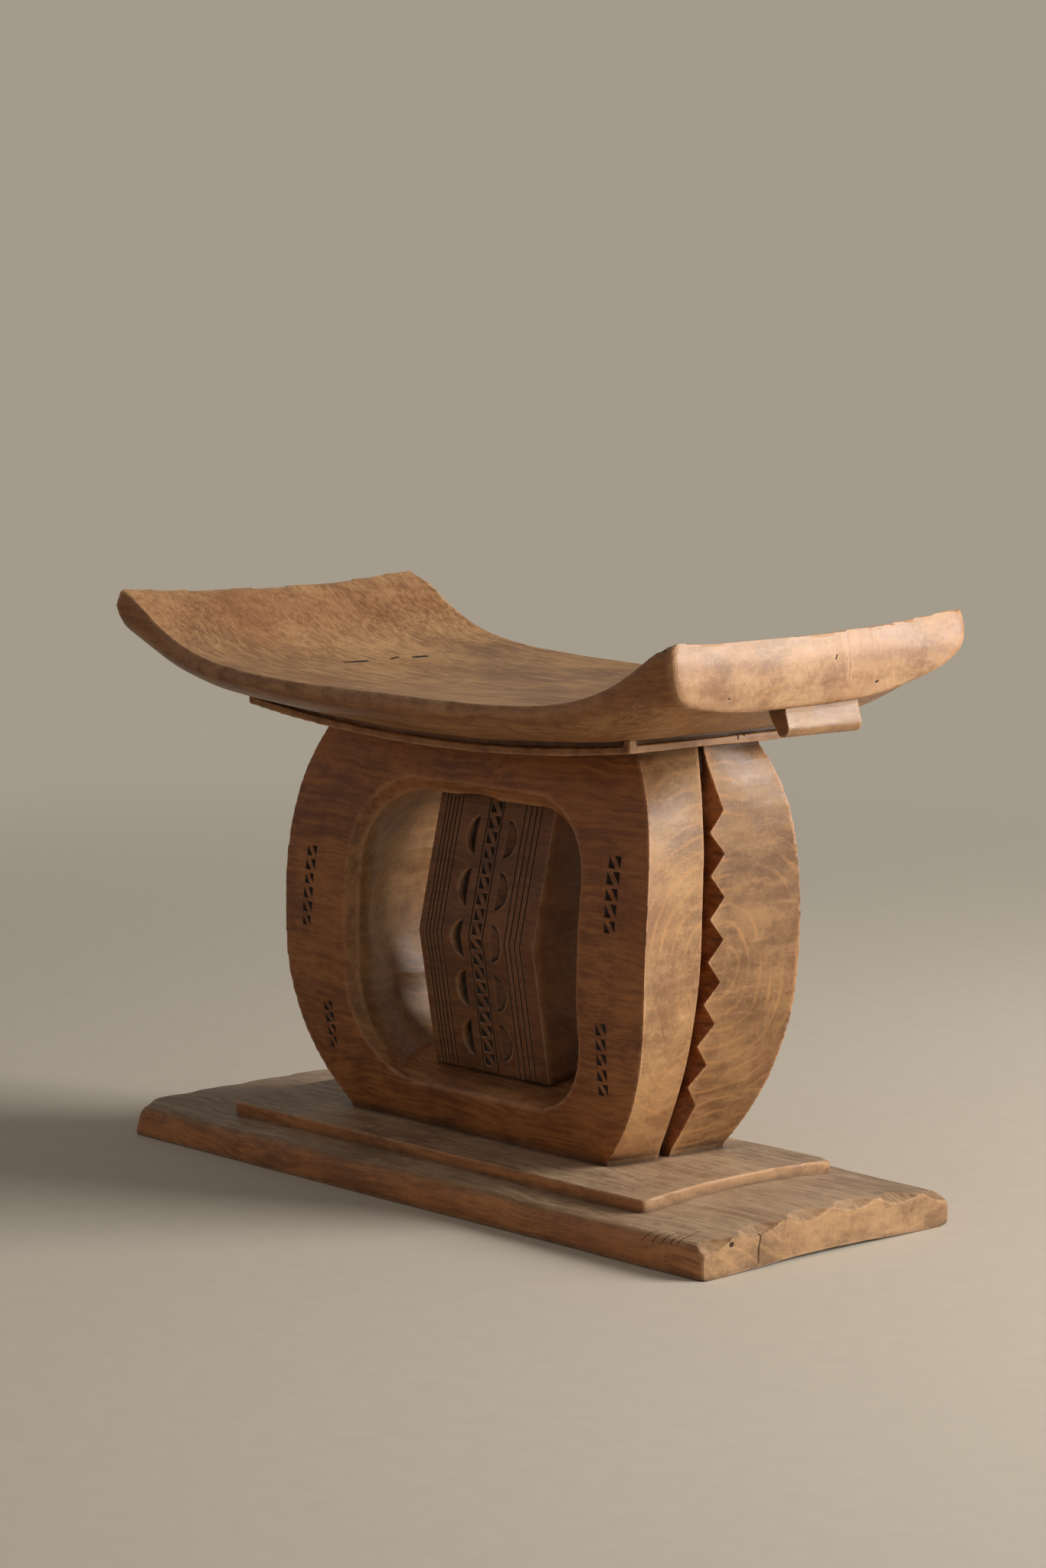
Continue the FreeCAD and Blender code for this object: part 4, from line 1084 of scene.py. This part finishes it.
def backdrop():
    """Even light from all round, with a pale wall where the camera looks past the floor."""
    world = bpy.data.worlds.new("studio")
    bpy.context.scene.world = world
    world.use_nodes = True
    tree = world.node_tree
    tree.nodes.clear()
    light = tree.nodes.new("ShaderNodeBackground")
    light.inputs["Color"].default_value = colour(1.0, 0.97, 0.93)
    light.inputs["Strength"].default_value = WORLD_LIGHT
    wall = tree.nodes.new("ShaderNodeBackground")
    wall.inputs["Color"].default_value = colour(*WALL_TINT)
    wall.inputs["Strength"].default_value = 1.0
    path = tree.nodes.new("ShaderNodeLightPath")
    mixed = tree.nodes.new("ShaderNodeMixShader")
    tree.links.new(path.outputs["Is Camera Ray"], mixed.inputs[0])
    tree.links.new(light.outputs[0], mixed.inputs[1])
    tree.links.new(wall.outputs[0], mixed.inputs[2])
    output = tree.nodes.new("ShaderNodeOutputWorld")
    tree.links.new(mixed.outputs[0], output.inputs["Surface"])


def lamp(name, place, target, size, power, tint):
    light = bpy.data.lights.new(name, "AREA")
    light.shape = "SQUARE"
    light.size = size
    light.energy = power
    light.color = tint
    obj = bpy.data.objects.new(name, light)
    bpy.context.scene.collection.objects.link(obj)
    obj.location = place
    obj.rotation_euler = (Vector(target) - Vector(place)).to_track_quat("-Z", "Y").to_euler()


def lights():
    lamp("key", (2.05, 1.55, 1.15), (0.0, 0.0, 0.18), 1.4, 96.0, (1.0, 0.965, 0.92))
    lamp("fill", (-1.2, -2.8, 1.6), (0.0, 0.0, 0.15), 2.2, 3.5, (1.0, 0.96, 0.91))


def camera():
    back = Vector((math.sin(CAMERA_AZIMUTH) * math.cos(CAMERA_ELEVATION),
                   -math.cos(CAMERA_AZIMUTH) * math.cos(CAMERA_ELEVATION),
                   math.sin(CAMERA_ELEVATION)))
    level = Vector((math.cos(CAMERA_AZIMUTH), math.sin(CAMERA_AZIMUTH), 0.0))
    upright = back.cross(level)
    right = math.cos(CAMERA_ROLL) * level + math.sin(CAMERA_ROLL) * upright
    up = math.cos(CAMERA_ROLL) * upright - math.sin(CAMERA_ROLL) * level
    matrix = Matrix((right, up, back)).transposed().to_4x4()
    matrix.translation = CAMERA_PLACE
    data = bpy.data.cameras.new("camera")
    data.sensor_fit = "VERTICAL"
    data.sensor_height = FILM_HEIGHT
    data.lens = CAMERA_LENS
    data.clip_end = 50.0
    obj = bpy.data.objects.new("camera", data)
    bpy.context.scene.collection.objects.link(obj)
    obj.matrix_world = matrix
    bpy.context.scene.camera = obj


def build():
    woods = materials()
    slots = {part["node"]: part["material_slot"] for part in frame["record"]["subparts"]}
    pieces = pedestal()
    pieces["centre_column"] = centre_column()
    pieces["base_board"] = base_board()
    pieces["seat"] = seat()
    pieces["seat_rail"] = seat_rail()
    pieces["plinth"] = plinth()
    for node in ("left_lug", "right_lug"):
        pieces[node] = lug(node)
    for node, obj in pieces.items():
        dress(obj, node, woods[slots[node]])


build()
camera()
floor()
backdrop()
lights()
bpy.context.scene.view_settings.view_transform = "Standard"
